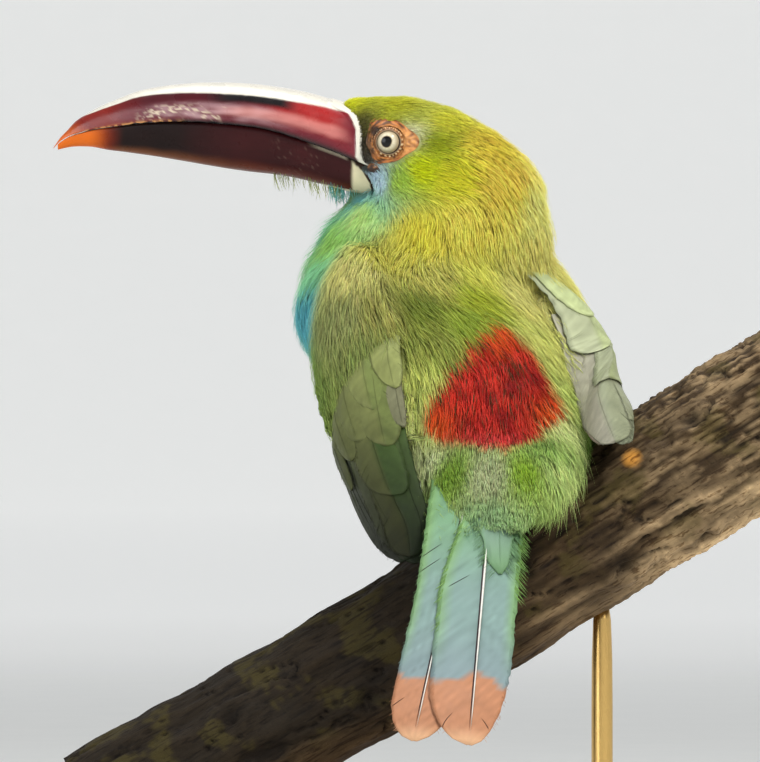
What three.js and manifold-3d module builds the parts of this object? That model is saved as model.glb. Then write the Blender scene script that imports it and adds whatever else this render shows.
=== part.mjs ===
// A crimson-rumped toucanet, life size and still, on a cut length of branch that two rods and a round base
// hold up.
// Millimetres, +Z up. The bird looks from behind along +Y, its head turned to its left, the bill along -X.
// The origin is the centre of the base's underside.
import * as THREE from "three";
import { mergeVertices } from "three/addons/utils/BufferGeometryUtils.js";
import Module from "manifold-3d";

const wasm = await Module();
wasm.setup();

const V = (x, y, z) => new THREE.Vector3(x, y, z);
const UP = V(0, 0, 1);
const LEFT = -1;
const RIGHT = 1;
const SIDES = { left: LEFT, right: RIGHT };

// ---- Driving dimensions ----
const GAP = 0.4; // clearance between pieces that meet
const TOLERANCE = 0.04; // how far a face may move when slivers from cuts are cleared away
const BODY_SIDES = 24; // facets round the trunk and the neck

// Trunk: stations from the tail's root to the neck, each a centre with half its width, the height of the back
// over the centre and the depth of the belly under it.
const TRUNK = [
  { at: V(5.2, -39, 120), width: 13.5, back: 2.6, belly: 2.8 },
  { at: V(8.5, -30, 129.5), width: 19, back: 6, belly: 7 },
  { at: V(10, -21, 138), width: 22.5, back: 10, belly: 11.5 },
  { at: V(11, -10.5, 147), width: 25, back: 14, belly: 17 },
  { at: V(6, 5, 160), width: 29, back: 18.5, belly: 24 },
  { at: V(-4.5, 21, 174), width: 33.5, back: 21, belly: 31 },
  { at: V(-11, 36, 187), width: 35.5, back: 22, belly: 33 },
  { at: V(-11, 47, 198), width: 32, back: 19, belly: 28 },
  { at: V(-10, 53, 205), width: 22, back: 13, belly: 18 },
];
const TRUNK_ROLL = 4; // degrees, right side up
const TRUNK_EGG = 0.16; // how much wider the belly side is than the back

// Neck: level stations, lowest first.
const NECK = [
  { at: V(-8, 43, 190), width: 34, depth: 26 },
  { at: V(-6, 45, 203), width: 32.8, depth: 26 },
  { at: V(-3.4, 46, 213), width: 28.2, depth: 22.5 },
  { at: V(-3.8, 47, 222.5), width: 22.6, depth: 18 },
  { at: V(-5, 47, 231), width: 15, depth: 12.5 },
];

// Head, in its own frame: x along the bill, y to the bird's left, z up.
const HEAD_AT = V(-8, 47, 224.6);
const HEAD_YAW = 176; // degrees from +X, so the bill points to -X and a little away
const HEAD_ROLL = 5; // degrees, crown towards the bird's left
const HEAD = [
  { x: -32.5, top: -6, bottom: -15, width: 6 },
  { x: -27.5, top: 1, bottom: -20.5, width: 14.5 },
  { x: -18.5, top: 9, bottom: -22.5, width: 18.5 },
  { x: -6, top: 16.2, bottom: -21.5, width: 19 },
  { x: 6, top: 18.6, bottom: -19.5, width: 17.6 },
  { x: 16.5, top: 18.7, bottom: -16, width: 15 },
  { x: 23.6, top: 16.4, bottom: -12.4, width: 12.2 },
];

// Bill, in the head's frame: heights of the culmen, the closed mouth and the lower edge, and half the width.
const BILL = { from: 24, upperTo: 107.8, lowerTo: 102, stations: 12, sides: 14 };
const CULMEN = [
  [24, 16.4], [36, 19.8], [50, 22], [64, 22.5], [75, 21.7], [83, 20.2],
  [90, 17.6], [95, 15.4], [101, 12], [105.3, 8], [107.8, 4],
];
const MOUTH = [[24, -0.2], [40, 6.6], [58, 10.4], [80, 10.2], [98, 7.4], [107.8, 3]];
const GONYS = [[24, -10.6], [40, -6.4], [55, -3], [64, -1.2], [78, 1.5], [88, 2.9], [97, 4], [102, 4.8]];
const BILL_WIDTH = [[24, 11.6], [40, 11.4], [62, 9.8], [84, 6.8], [98, 3.8], [104, 2], [107.5, 0.6]];
const LOWER_SHARE = 0.86; // width of the lower mandible over that of the upper one

const EYE = { x: 11.8, z: 6.2, radius: 4.8, out: 12.2 };

// Wings: the folded wing is a strip of surface between its leading and trailing edges, from wrist to tip.
const WINGS = {
  left: {
    leading: [
      V(-39, 32, 196), V(-42, 20, 172), V(-38, 2, 149),
      V(-31.5, -13, 131), V(-25, -25, 119), V(-19.5, -32, 112),
    ],
    trailing: [
      V(-18, 12, 203), V(-15, -6, 176), V(-14.5, -18, 151),
      V(-12, -26, 133), V(-9.5, -31, 122), V(-11.5, -35, 112),
    ],
    bulge: [8, 9, 6.5, 4.5, 2.5, 0.5],
  },
  right: {
    leading: [
      V(17, 70, 190), V(32, 46, 160), V(42, 14, 153.5),
      V(46.5, -5, 156), V(48.3, -17, 151), V(47.8, -28, 146),
    ],
    trailing: [
      V(17, 37, 206), V(29.5, 14, 175), V(32.5, 0, 162.5),
      V(34, -14, 152.5), V(36.5, -25, 148), V(40, -34, 144.5),
    ],
    bulge: [10, 11.5, 9, 5, 2, 0.3],
  },
};
const ARM_END = 0.46; // share of the wing's length that the covert-clad arm takes
const ARM = { inner: -3, outer: 1, hump: 2.2 }; // its thickness at the wrist, inside and outside the wing's surface
const SHOULDER = { share: 0.42, sink: 6, inset: 0.26 }; // the arm's near end sinks into the body and narrows
const ARM_CLEAR = 0.009; // share of the length left clear beyond the arm
const FEATHER_THICKNESS = 0.7;
// The secondaries lie over the primaries. Each row spans v0 to v1 of the wing's width and ends at a share of
// its length.
const WING_ROWS = [
  { v0: 0.2, v1: 1, ends: [[0.2, 0.86], [0.6, 0.84], [1, 0.78]], feathers: 3, scallop: 0.05, layer: 0.6 },
  { v0: 0, v1: 0.94, ends: [[0, 0.93], [0.5, 1], [0.94, 0.97]], feathers: 4, scallop: 0.03, layer: -0.9 },
];

// Tail: five pairs of feathers, the middle pair uppermost and longest. The plane runs from root to tip; a
// feather's shaft starts and ends so far right of the plane's middle line, and its webs reach so far left and
// right of it.
const TAIL = { root: V(6.5, -22, 138), tip: V(-4.6, -98, 65), thickness: 0.6, pitch: 1.05, sag: 0.003 };
const TAIL_FEATHERS = {
  right: { start: 3.4, end: 7.6, webs: [12.2, 9.8], length: 1.01 },
  left: { start: -3, end: -8.6, webs: [8.6, 12], length: 1 },
};
const TAIL_PAIRS = 5;
const TAIL_STEP = { length: 0.065, droop: 0.012, end: 0.7, web: 0.62 };

// Branch: a gnarled length between two saw cuts, its middle line and radius from left to right.
const BRANCH_Y = 7; // the branch lies this far forward of the origin
const BRANCH = [
  { at: V(-102, BRANCH_Y, 39.5), r: 18.8 },
  { at: V(-64, BRANCH_Y, 60.5), r: 19.4 },
  { at: V(-19, BRANCH_Y, 85.4), r: 20.2 },
  { at: V(22, BRANCH_Y, 110.8), r: 21.2 },
  { at: V(64, BRANCH_Y, 138), r: 22 },
  { at: V(98, BRANCH_Y, 158.5), r: 22 },
];
const BRANCH_SIDES = 22;
const BRANCH_RINGS = 19;

// Legs: where the ball of each foot stands along the branch, and the ankle and the hip up from it.
const FEET = {
  left: { x: 6, ankle: V(-0.5, -1, 14), hip: V(-3, 10, 36) },
  right: { x: 28, ankle: V(0.5, 0, 9), hip: V(-4, 10, 24) },
};
const LEG = { tarsus: 2.1, thigh: 11 };
const TOE = { radius: 1.75, claw: 6, wrap: { front: 62, back: 50 }, fork: 5.2 };

// Stand
const BASE = { radius: 80, height: 12, bevel: 2.5 };
const ROD = { x: { left: -40, right: 40 }, radius: 3, collar: 7, collarHeight: 4 };

// ---- Shape helpers ----
const radians = THREE.MathUtils.degToRad;

// A smooth curve through [x, y] pairs, read as a function of x.
function curveThrough(pairs) {
  return (x) => {
    let i = pairs.findIndex(([px]) => px > x);
    i = i < 0 ? pairs.length - 1 : Math.max(1, i);
    const at = (k) => pairs[Math.min(pairs.length - 1, Math.max(0, k))];
    const [x0, y0] = at(i - 1);
    const [x1, y1] = at(i);
    const slope = (a, b) => (b[0] === a[0] ? 0 : (b[1] - a[1]) / (b[0] - a[0]));
    const m0 = i - 1 > 0 ? slope(at(i - 2), at(i)) : slope(at(0), at(1));
    const m1 = i < pairs.length - 1 ? slope(at(i - 1), at(i + 1)) : slope(at(i - 1), at(i));
    const h = x1 - x0;
    const t = (x - x0) / h;
    return (
      (2 * t ** 3 - 3 * t ** 2 + 1) * y0 +
      (t ** 3 - 2 * t ** 2 + t) * h * m0 +
      (-2 * t ** 3 + 3 * t ** 2) * y1 +
      (t ** 3 - t ** 2) * h * m1
    );
  };
}

// A closed mesh through rings of points, its two ends closed by fans.
function loft(rings) {
  const n = rings[0].length;
  const points = rings.flat();
  const first = points.length;
  const centre = (ring) => ring.reduce((sum, p) => sum.add(p), V(0, 0, 0)).divideScalar(n);
  points.push(centre(rings[0]), centre(rings.at(-1)));
  const faces = [];
  for (let j = 0; j < rings.length - 1; j++)
    for (let i = 0; i < n; i++) {
      const a = j * n + i;
      const b = j * n + ((i + 1) % n);
      faces.push(a, b, b + n, a, b + n, a + n);
    }
  const last = (rings.length - 1) * n;
  for (let i = 0; i < n; i++) {
    const next = (i + 1) % n;
    faces.push(first, next, i, first + 1, last + i, last + next);
  }
  const geometry = new THREE.BufferGeometry().setFromPoints(points);
  geometry.setIndex(faces);
  return geometry;
}

// A geometry as a manifold-3d solid with its faces out.
function solid(geometry) {
  const bare = geometry.clone();
  bare.deleteAttribute("normal");
  bare.deleteAttribute("uv");
  const merged = mergeVertices(bare, 1e-4);
  const triVerts = new Uint32Array(merged.index.array);
  const build = () => {
    const vertProperties = merged.attributes.position.array;
    return new wasm.Manifold(new wasm.Mesh({ numProp: 3, vertProperties, triVerts }));
  };
  const made = build();
  if (made.volume() >= 0) return made;
  for (let i = 0; i < triVerts.length; i += 3)
    [triVerts[i + 1], triVerts[i + 2]] = [triVerts[i + 2], triVerts[i + 1]];
  return build();
}

// The largest body of a solid, as a geometry: cuts can leave slivers beside it.
function geometryOf(shape) {
  const whole = shape.simplify(TOLERANCE).decompose().sort((a, b) => b.volume() - a.volume())[0];
  const { numProp, vertProperties, triVerts, numVert } = whole.getMesh();
  const position = new Float32Array(numVert * 3);
  for (let i = 0; i < numVert; i++)
    position.set(vertProperties.subarray(i * numProp, i * numProp + 3), i * 3);
  const geometry = new THREE.BufferGeometry();
  geometry.setAttribute("position", new THREE.BufferAttribute(position, 3));
  geometry.setIndex(new THREE.BufferAttribute(triVerts, 1));
  geometry.computeVertexNormals();
  return geometry;
}

const join = (solids) => solids.reduce((all, one) => all.add(one));

// Half of space, as a big block: everything on the normal's side of a point.
function halfSpace(point, normal) {
  const size = 600;
  const block = new THREE.BoxGeometry(size, size, size);
  const turn = new THREE.Quaternion().setFromUnitVectors(UP, normal.clone().normalize());
  const centre = point.clone().addScaledVector(normal.clone().normalize(), size / 2);
  return solid(block.applyQuaternion(turn).translate(centre.x, centre.y, centre.z));
}

// A round limb through centres with a radius each.
function limb(stations, sides, side = V(1, 0, 0)) {
  const path = new THREE.CatmullRomCurve3(stations.map((s) => s.at), false, "centripetal");
  const rings = stations.map(({ r }, i) => {
    const t = i / (stations.length - 1);
    const along = path.getTangent(t);
    const u = side.clone().addScaledVector(along, -side.dot(along)).normalize();
    const w = along.clone().cross(u);
    return Array.from({ length: sides }, (_, k) => {
      const a = (2 * Math.PI * k) / sides;
      return stations[i].at.clone().addScaledVector(u, r * Math.cos(a)).addScaledVector(w, r * Math.sin(a));
    });
  });
  return loft(rings);
}

// ---- Trunk, neck and head: one form, then parted by thin cuts ----
function trunkForm(grow = 0) {
  const path = new THREE.CatmullRomCurve3(TRUNK.map((s) => s.at), false, "centripetal");
  const roll = radians(TRUNK_ROLL);
  const rings = TRUNK.map((s, j) => {
    const along = path.getTangent(j / (TRUNK.length - 1));
    const back = UP.clone().addScaledVector(along, -UP.dot(along)).normalize();
    const right = along.clone().cross(back);
    const u = back.clone().multiplyScalar(Math.cos(roll)).addScaledVector(right, -Math.sin(roll));
    const r = right.clone().multiplyScalar(Math.cos(roll)).addScaledVector(back, Math.sin(roll));
    return Array.from({ length: BODY_SIDES }, (_, k) => {
      const a = (2 * Math.PI * k) / BODY_SIDES;
      const lift = Math.sin(a) * ((Math.sin(a) > 0 ? s.back : s.belly) + grow);
      const reach = Math.cos(a) * (s.width + grow) * (1 - TRUNK_EGG * Math.sin(a));
      return s.at.clone().addScaledVector(r, reach).addScaledVector(u, lift);
    });
  });
  return solid(loft(rings));
}

function neckForm(grow = 0) {
  const rings = NECK.map((s) =>
    Array.from({ length: BODY_SIDES }, (_, k) => {
      const a = (2 * Math.PI * k) / BODY_SIDES;
      return s.at.clone().add(V((s.width + grow) * Math.cos(a), (s.depth + grow) * Math.sin(a), 0));
    }),
  );
  return solid(loft(rings));
}

const headMatrix = new THREE.Matrix4()
  .makeTranslation(HEAD_AT.x, HEAD_AT.y, HEAD_AT.z)
  .multiply(new THREE.Matrix4().makeRotationZ(radians(HEAD_YAW)))
  .multiply(new THREE.Matrix4().makeRotationX(-radians(HEAD_ROLL)));

// Rings across the head's own x axis: each has a top, a bottom and half a width, with a given squareness.
function acrossHead(stations, sides, power = 1) {
  const bend = (c) => Math.sign(c) * Math.abs(c) ** power;
  return stations.map(({ x, top, bottom, width }) =>
    Array.from({ length: sides }, (_, k) => {
      const a = (2 * Math.PI * k) / sides;
      const middle = (top + bottom) / 2;
      return V(x, width * bend(Math.cos(a)), middle + ((top - bottom) / 2) * bend(Math.sin(a)));
    }),
  );
}

function headForm(grow = 0) {
  const stations = HEAD.map(({ x, top, bottom, width }) => ({
    x,
    top: top + grow,
    bottom: bottom - grow,
    width: width + grow,
  }));
  return solid(loft(acrossHead(stations, BODY_SIDES)).applyMatrix4(headMatrix));
}

// The feathered thigh, from the ankle up into the belly.
function thighForm(name, grow = 0) {
  const { ankle, hip } = legPoints(name);
  const along = [
    [-0.04, LEG.tarsus * 1.2],
    [0.16, LEG.thigh * 0.45],
    [0.42, LEG.thigh * 0.85],
    [0.75, LEG.thigh],
    [1.1, LEG.thigh * 0.8],
  ];
  return solid(limb(along.map(([share, r]) => ({ at: ankle.clone().lerp(hip, share), r: r + grow })), 16));
}

const HEAD_CUT = { at: V(-8, 46, 211.5), normal: V(-0.32, 0, 0.95) };
const NECK_CUT = { at: V(-9, 40, 195), normal: V(0.05, -0.25, 0.97) };

function flesh() {
  const thighs = (grow) => ["left", "right"].map((name) => thighForm(name, grow));
  const formOf = (grow) => join([trunkForm(grow), neckForm(grow), headForm(grow), ...thighs(grow)]);
  const form = formOf(0);
  const bodyGrown = formOf(GAP);
  const apart = ({ at, normal }, side) => {
    const out = normal.clone().normalize().multiplyScalar(side);
    return halfSpace(at.clone().addScaledVector(out, GAP / 2), out);
  };
  return {
    bodyGrown,
    head: form.intersect(apart(HEAD_CUT, 1)),
    neck: form.intersect(apart(HEAD_CUT, -1)).intersect(apart(NECK_CUT, 1)),
    trunk: form.intersect(apart(NECK_CUT, -1)).intersect(apart(HEAD_CUT, -1)),
  };
}

// ---- Bill and eyes, in the head's frame ----
function billStations(upper) {
  const culmen = curveThrough(CULMEN);
  const mouth = curveThrough(MOUTH);
  const gonys = curveThrough(GONYS);
  const width = curveThrough(BILL_WIDTH);
  const length = (upper ? BILL.upperTo : BILL.lowerTo) - BILL.from;
  return Array.from({ length: BILL.stations }, (_, i) => {
    const share = i / (BILL.stations - 1);
    const x = BILL.from + length * Math.sin((share * Math.PI) / 2);
    return upper
      ? { x, top: culmen(x), bottom: mouth(x) + GAP / 2, width: width(x) }
      : { x, top: mouth(x) - GAP / 2, bottom: gonys(x), width: width(x) * LOWER_SHARE };
  });
}

function billGeometry(upper) {
  const rings = billStations(upper).map(({ x, top, bottom, width }) => {
    const height = Math.max(top - bottom, 0.6);
    return Array.from({ length: BILL.sides }, (_, k) => {
      // Half a rounded section on a flat floor: the culmen above, or the keel below.
      const a = (Math.PI * k) / (BILL.sides - 1);
      const y = width * Math.sign(Math.cos(a)) * Math.abs(Math.cos(a)) ** 0.72;
      const rise = height * Math.abs(Math.sin(a)) ** 0.78;
      return V(x, y, upper ? bottom + rise : bottom + height - rise);
    });
  });
  return loft(rings);
}

// ---- Wings ----
function wingSurface({ leading, trailing, bulge }, side) {
  const front = new THREE.CatmullRomCurve3(leading, false, "centripetal");
  const rear = new THREE.CatmullRomCurve3(trailing, false, "centripetal");
  const swell = curveThrough(bulge.map((b, i) => [i / (bulge.length - 1), b]));
  return (t, v, offset = 0) => {
    const a = front.getPoint(t);
    const b = rear.getPoint(t);
    const across = b.clone().sub(a);
    const along = front.getTangent(t).lerp(rear.getTangent(t), v);
    const out = across.cross(along).normalize().multiplyScalar(side);
    return a.lerp(b, v).addScaledVector(out, swell(t) * 4 * v * (1 - v) + offset);
  };
}

// A plate on the wing's surface: rows of t, each from v0 to v1, between two offsets.
function plate(surface, rows, across = 4) {
  const rings = rows.map(({ t, v0, v1, inner, outer, hump = 0 }) => {
    const vs = Array.from({ length: across + 1 }, (_, i) => v0 + ((v1 - v0) * i) / across);
    const over = (v) => outer + hump * Math.sin((Math.PI * (v - v0)) / (v1 - v0));
    return [...vs.map((v) => surface(t, v, over(v))), ...vs.reverse().map((v) => surface(t, v, inner))];
  });
  return loft(rings);
}

// The arm with its coverts: thick at the wrist and thin where the long feathers leave it.
function arm(surface, grow = 0) {
  const rows = 9;
  const stations = Array.from({ length: rows }, (_, i) => {
    const share = i / (rows - 1);
    const t = ARM_END * share;
    const buried = Math.max(0, 1 - share / SHOULDER.share) ** 2;
    const inset = 0.04 * (1 - share) + SHOULDER.inset * buried - grow / 40;
    const sink = SHOULDER.sink * buried;
    const inner = ARM.inner * (1 - share) - 1 - grow - sink;
    const outer = ARM.outer * (1 - share) + 0.2 + grow - sink;
    return { t, v0: inset, v1: 1 - inset, inner, outer, hump: ARM.hump * (1 - share) };
  });
  if (grow) stations.push({ ...stations.at(-1), t: ARM_END + ARM_CLEAR });
  return plate(surface, stations, 6);
}

// A row of long feathers as one thin plate: its far edge is scalloped by their tips and ends where endAt says.
function featherRow(surface, from, { v0, v1, endAt, feathers, scallop, layer }) {
  const rows = 5;
  const across = feathers * 4;
  const column = (v, share, offset) => {
    const turn = ((v - v0) / (v1 - v0)) * feathers;
    const tip = endAt(v) - scallop * (1 - Math.sqrt(Math.abs(Math.sin(Math.PI * turn))));
    return surface(from + (tip - from) * share, v, offset);
  };
  const rings = Array.from({ length: rows }, (_, i) => {
    const share = i / (rows - 1);
    const vs = Array.from({ length: across + 1 }, (_, k) => v0 + ((v1 - v0) * k) / across);
    const top = vs.map((v) => column(v, share, layer));
    return [...top, ...vs.reverse().map((v) => column(v, share, layer - FEATHER_THICKNESS))];
  });
  return loft(rings);
}

function wing(name, bodyGrown) {
  const surface = wingSurface(WINGS[name], SIDES[name]);
  const rowsOf = WING_ROWS.map(({ ends, ...row }) => ({ ...row, endAt: curveThrough(ends) }));
  const armGrown = solid(arm(surface, GAP * 1.5));
  const row = (of) => solid(featherRow(surface, ARM_END, of)).subtract(armGrown);
  const parts = { arm: solid(arm(surface)), secondaries: row(rowsOf[0]), primaries: row(rowsOf[1]) };
  return Object.entries(parts).map(([part, shape]) => [part, shape.subtract(bodyGrown)]);
}

// ---- Tail ----
const tailAlong = TAIL.tip.clone().sub(TAIL.root);
const tailLength = tailAlong.length();
tailAlong.normalize();
const tailAcross = V(1, 0, 0).addScaledVector(tailAlong, -tailAlong.x).normalize();
const tailOut = tailAlong.clone().cross(tailAcross).normalize();

// Every feather lies on one arched surface, a layer deeper than the last, so they nest at any fan.
function tailPoint(share, aside, depth) {
  return TAIL.root
    .clone()
    .addScaledVector(tailAlong, tailLength * share)
    .addScaledVector(tailAcross, aside)
    .addScaledVector(tailOut, -depth - TAIL.sag * aside * aside);
}

function tailFeather(rank, name, bodyGrown) {
  const { start, end, webs, length } = TAIL_FEATHERS[name];
  const side = SIDES[name];
  const reach = length - TAIL_STEP.length * rank - TAIL_STEP.droop * rank * rank;
  const depth = (2 * rank + (side === LEFT ? 1 : 0)) * TAIL.pitch;
  const narrow = rank === 0 ? 1 : TAIL_STEP.web;
  const rows = 8;
  const rings = Array.from({ length: rows }, (_, i) => {
    const share = i / (rows - 1);
    const shaft = start + (end - start + side * TAIL_STEP.end * rank) * share;
    const tip = Math.sqrt(Math.max(0.06, 1 - Math.max(0, (share - 0.8) / 0.2) ** 2));
    const open = (0.45 + 0.55 * Math.min(1, share / 0.3)) * tip * narrow;
    const [from, to] = [shaft - webs[0] * open, shaft + webs[1] * open];
    const asides = [from, (from + to) / 2, to];
    const top = asides.map((aside) => tailPoint(share * reach, aside, depth));
    const under = asides.reverse().map((aside) => tailPoint(share * reach, aside, depth + TAIL.thickness));
    return [...top, ...under];
  });
  return solid(loft(rings)).subtract(bodyGrown);
}

// ---- Branch ----
const branchPath = new THREE.CatmullRomCurve3(BRANCH.map((s) => s.at), false, "centripetal");
const branchRadius = curveThrough(BRANCH.map((s) => [s.at.x, s.r]));
const BRANCH_KNOBS = [
  { x: 55, angle: 80, size: 5, spread: 9 },
  { x: 76, angle: 74, size: 4.5, spread: 8 },
  { x: -24, angle: -20, size: 3, spread: 14 },
];

// Where the branch's surface is: x picks the place along it, angle goes round it with 90 straight up.
function branchPoint(x, angle, lift = 0) {
  let low = 0;
  let high = 1;
  for (let i = 0; i < 24; i++) {
    const mid = (low + high) / 2;
    if (branchPath.getPoint(mid).x < x) low = mid;
    else high = mid;
  }
  const centre = branchPath.getPoint(low);
  const along = branchPath.getTangent(low);
  const near = V(0, -1, 0);
  const over = near.clone().cross(along).normalize();
  const a = radians(angle);
  const ridges = 0.5 * Math.sin(5 * a + x / 17) + 0.35 * Math.sin(9 * a - x / 11);
  const knobs = BRANCH_KNOBS.reduce((sum, k) => {
    const turn = radians(k.angle) - a;
    const round = Math.atan2(Math.sin(turn), Math.cos(turn)) * branchRadius(x);
    return sum + k.size * Math.exp(-((x - k.x) ** 2 + round ** 2) / k.spread ** 2);
  }, 0);
  const radius = branchRadius(x) + ridges + knobs + lift;
  return centre.addScaledVector(near, radius * Math.cos(a)).addScaledVector(over, radius * Math.sin(a));
}

function branchForm(grow = 0) {
  const [from, to] = [BRANCH[0].at.x, BRANCH.at(-1).at.x];
  const rings = Array.from({ length: BRANCH_RINGS }, (_, j) => {
    const x = from + ((to - from) * j) / (BRANCH_RINGS - 1);
    return Array.from({ length: BRANCH_SIDES }, (_, k) => branchPoint(x, (360 * k) / BRANCH_SIDES, grow));
  });
  return solid(loft(rings));
}

// ---- Legs ----
// A toe bends over the branch from the ball of the foot: two to the far side and two to the near one.
function toe(footX, way, fork) {
  const steps = 4;
  const wrap = way > 0 ? TOE.wrap.front : TOE.wrap.back;
  return Array.from({ length: steps + 1 }, (_, i) => {
    const share = i / steps;
    const knuckle = 0.25 * Math.sin(Math.PI * 3 * share);
    return {
      at: branchPoint(footX + fork * share, 90 + way * wrap * share, TOE.radius + GAP + 0.5 + knuckle),
      r: TOE.radius * (1.15 - 0.35 * share),
    };
  });
}

function claw(path) {
  const end = path.at(-1).at;
  const r = path.at(-1).r;
  const ahead = end.clone().sub(path.at(-2).at).normalize();
  return [0, 0.35, 0.7, 1].map((share) => ({
    at: end
      .clone()
      .addScaledVector(ahead, r + GAP + TOE.claw * share * 0.85)
      .add(V(0, 0, -1.6 * share * share)),
    r: r * 0.8 * (1 - 0.88 * share),
  }));
}

function legPoints(name) {
  const { x, ankle, hip } = FEET[name];
  const ball = branchPoint(x, 90, TOE.radius + GAP + 0.6);
  return { ball, ankle: ball.clone().add(ankle), hip: ball.clone().add(hip) };
}

function shankForm(name, grow = 0) {
  const { ball, ankle } = legPoints(name);
  const stations = [
    { at: ball.clone().lerp(ankle, 0.06), r: LEG.tarsus * 1.05 + grow },
    { at: ball.clone().lerp(ankle, 0.5), r: LEG.tarsus * 0.92 + grow },
    { at: ankle, r: LEG.tarsus * 1.15 + grow },
  ];
  return solid(limb(stations, 10));
}

function leg(name, bodyGrown, branchGrown) {
  const { ball } = legPoints(name);
  const toes = [
    [1, -TOE.fork],
    [1, TOE.fork],
    [-1, -TOE.fork],
    [-1, TOE.fork],
  ].map(([way, fork]) => toe(FEET[name].x, way, fork));
  const knuckle = new THREE.IcosahedronGeometry(TOE.radius * 1.9, 1).translate(ball.x, ball.y, ball.z + 0.6);
  const foot = join([solid(knuckle), ...toes.map((path) => solid(limb(path, 7)))]);
  return {
    foot: foot.subtract(branchGrown).subtract(shankForm(name, GAP)).subtract(bodyGrown),
    tarsus: shankForm(name).subtract(bodyGrown),
    claws: toes.map((path) => solid(limb(claw(path), 6)).subtract(branchGrown)),
  };
}

// ---- Stand ----
function standBase() {
  const { radius, height, bevel } = BASE;
  const outline = [
    [0, 0],
    [radius - 1, 0],
    [radius, 1],
    [radius, height - bevel],
    [radius - bevel, height],
    [0, height],
  ];
  const profile = outline.map(([x, y]) => new THREE.Vector2(x, y));
  return new THREE.LatheGeometry(profile, 44).rotateX(Math.PI / 2);
}

function standRod(x, branchGrown) {
  const length = branchPoint(x, 90).z - BASE.height - GAP;
  const rod = new THREE.CylinderGeometry(ROD.radius, ROD.radius, length, 20).rotateX(Math.PI / 2);
  return solid(rod.translate(x, BRANCH_Y, BASE.height + GAP + length / 2)).subtract(branchGrown);
}

function standCollar(x) {
  const inside = ROD.radius + GAP;
  const outline = [
    [inside, 0],
    [ROD.collar, 0],
    [ROD.collar, ROD.collarHeight - 1.2],
    [ROD.collar - 1.2, ROD.collarHeight],
    [inside, ROD.collarHeight],
    [inside, 0],
  ];
  const profile = outline.map(([r, z]) => new THREE.Vector2(r, z));
  return new THREE.LatheGeometry(profile, 16).rotateX(Math.PI / 2).translate(x, BRANCH_Y, BASE.height + GAP);
}

// ---- The model ----
const finish = (color, roughness, metalness = 0) =>
  new THREE.MeshStandardMaterial({ color, roughness, metalness, flatShading: true });
const materials = {
  plumage: finish(0x8fa03a, 0.9),
  wing: finish(0x7f9668, 0.7),
  tail: finish(0x7fa3a0, 0.65),
  bill: finish(0x6b1420, 0.3),
  billDark: finish(0x2c1114, 0.3),
  eye: finish(0xd8cba6, 0.1),
  leg: finish(0x6d7a66, 0.6),
  claw: finish(0x2b2723, 0.4),
  bark: finish(0x6a5844, 0.95),
  base: finish(0x3a2a1e, 0.45),
  rod: finish(0xb0925a, 0.3, 0.9),
};

const model = new THREE.Group();
function add(name, shape, material) {
  const geometry = shape.isBufferGeometry ? shape : geometryOf(shape);
  const mesh = new THREE.Mesh(geometry, material);
  mesh.name = name;
  model.add(mesh);
  return mesh;
}

const { head, neck, trunk, bodyGrown } = flesh();
const branchGrown = branchForm(GAP);

const upperBill = billGeometry(true).applyMatrix4(headMatrix);
const lowerBill = billGeometry(false).applyMatrix4(headMatrix);
const eyeballs = Object.entries(SIDES).map(([name, side]) => {
  const ball = new THREE.SphereGeometry(EYE.radius, 12, 9).translate(EYE.x, -side * EYE.out, EYE.z);
  const grown = new THREE.SphereGeometry(EYE.radius + GAP, 12, 9).translate(EYE.x, -side * EYE.out, EYE.z);
  return { name, ball: ball.applyMatrix4(headMatrix), grown: solid(grown.applyMatrix4(headMatrix)) };
});

add("trunk", trunk.subtract(branchGrown), materials.plumage);
add("neck", neck, materials.plumage);
add("head", eyeballs.reduce((shape, eye) => shape.subtract(eye.grown), head), materials.plumage);
add("bill_upper", upperBill, materials.bill);
add("bill_lower", solid(lowerBill).subtract(bodyGrown), materials.billDark);
for (const { name, ball } of eyeballs) add(`eye_${name}`, ball, materials.eye);

for (const name of Object.keys(SIDES)) {
  for (const [part, shape] of wing(name, bodyGrown))
    add(`wing_${name}_${part}`, shape.subtract(branchGrown), materials.wing);
}

for (let rank = 0; rank < TAIL_PAIRS; rank++)
  for (const name of Object.keys(SIDES))
    add(`tail_${name}_${rank + 1}`, tailFeather(rank, name, bodyGrown), materials.tail);

for (const name of Object.keys(SIDES)) {
  const { foot, tarsus, claws } = leg(name, bodyGrown, branchGrown);
  add(`leg_${name}_tarsus`, tarsus, materials.leg);
  add(`foot_${name}`, foot, materials.leg);
  claws.forEach((shape, i) => add(`claw_${name}_${i + 1}`, shape, materials.claw));
}

add("branch", branchForm(), materials.bark);
add("stand_base", standBase(), materials.base);
for (const [name, x] of Object.entries(ROD.x)) {
  add(`stand_rod_${name}`, standRod(x, branchGrown), materials.rod);
  add(`stand_collar_${name}`, standCollar(x), materials.rod);
}

export default model;
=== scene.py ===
"""A crimson-rumped toucanet on its perch: the looks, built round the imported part.

Lengths in this script are millimetres and turn into metres where a mesh or a light is made.
"""

import math

import bpy
import numpy as np
from mathutils import Matrix, Vector, noise
from mathutils.bvhtree import BVHTree
from mathutils.kdtree import KDTree


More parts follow.
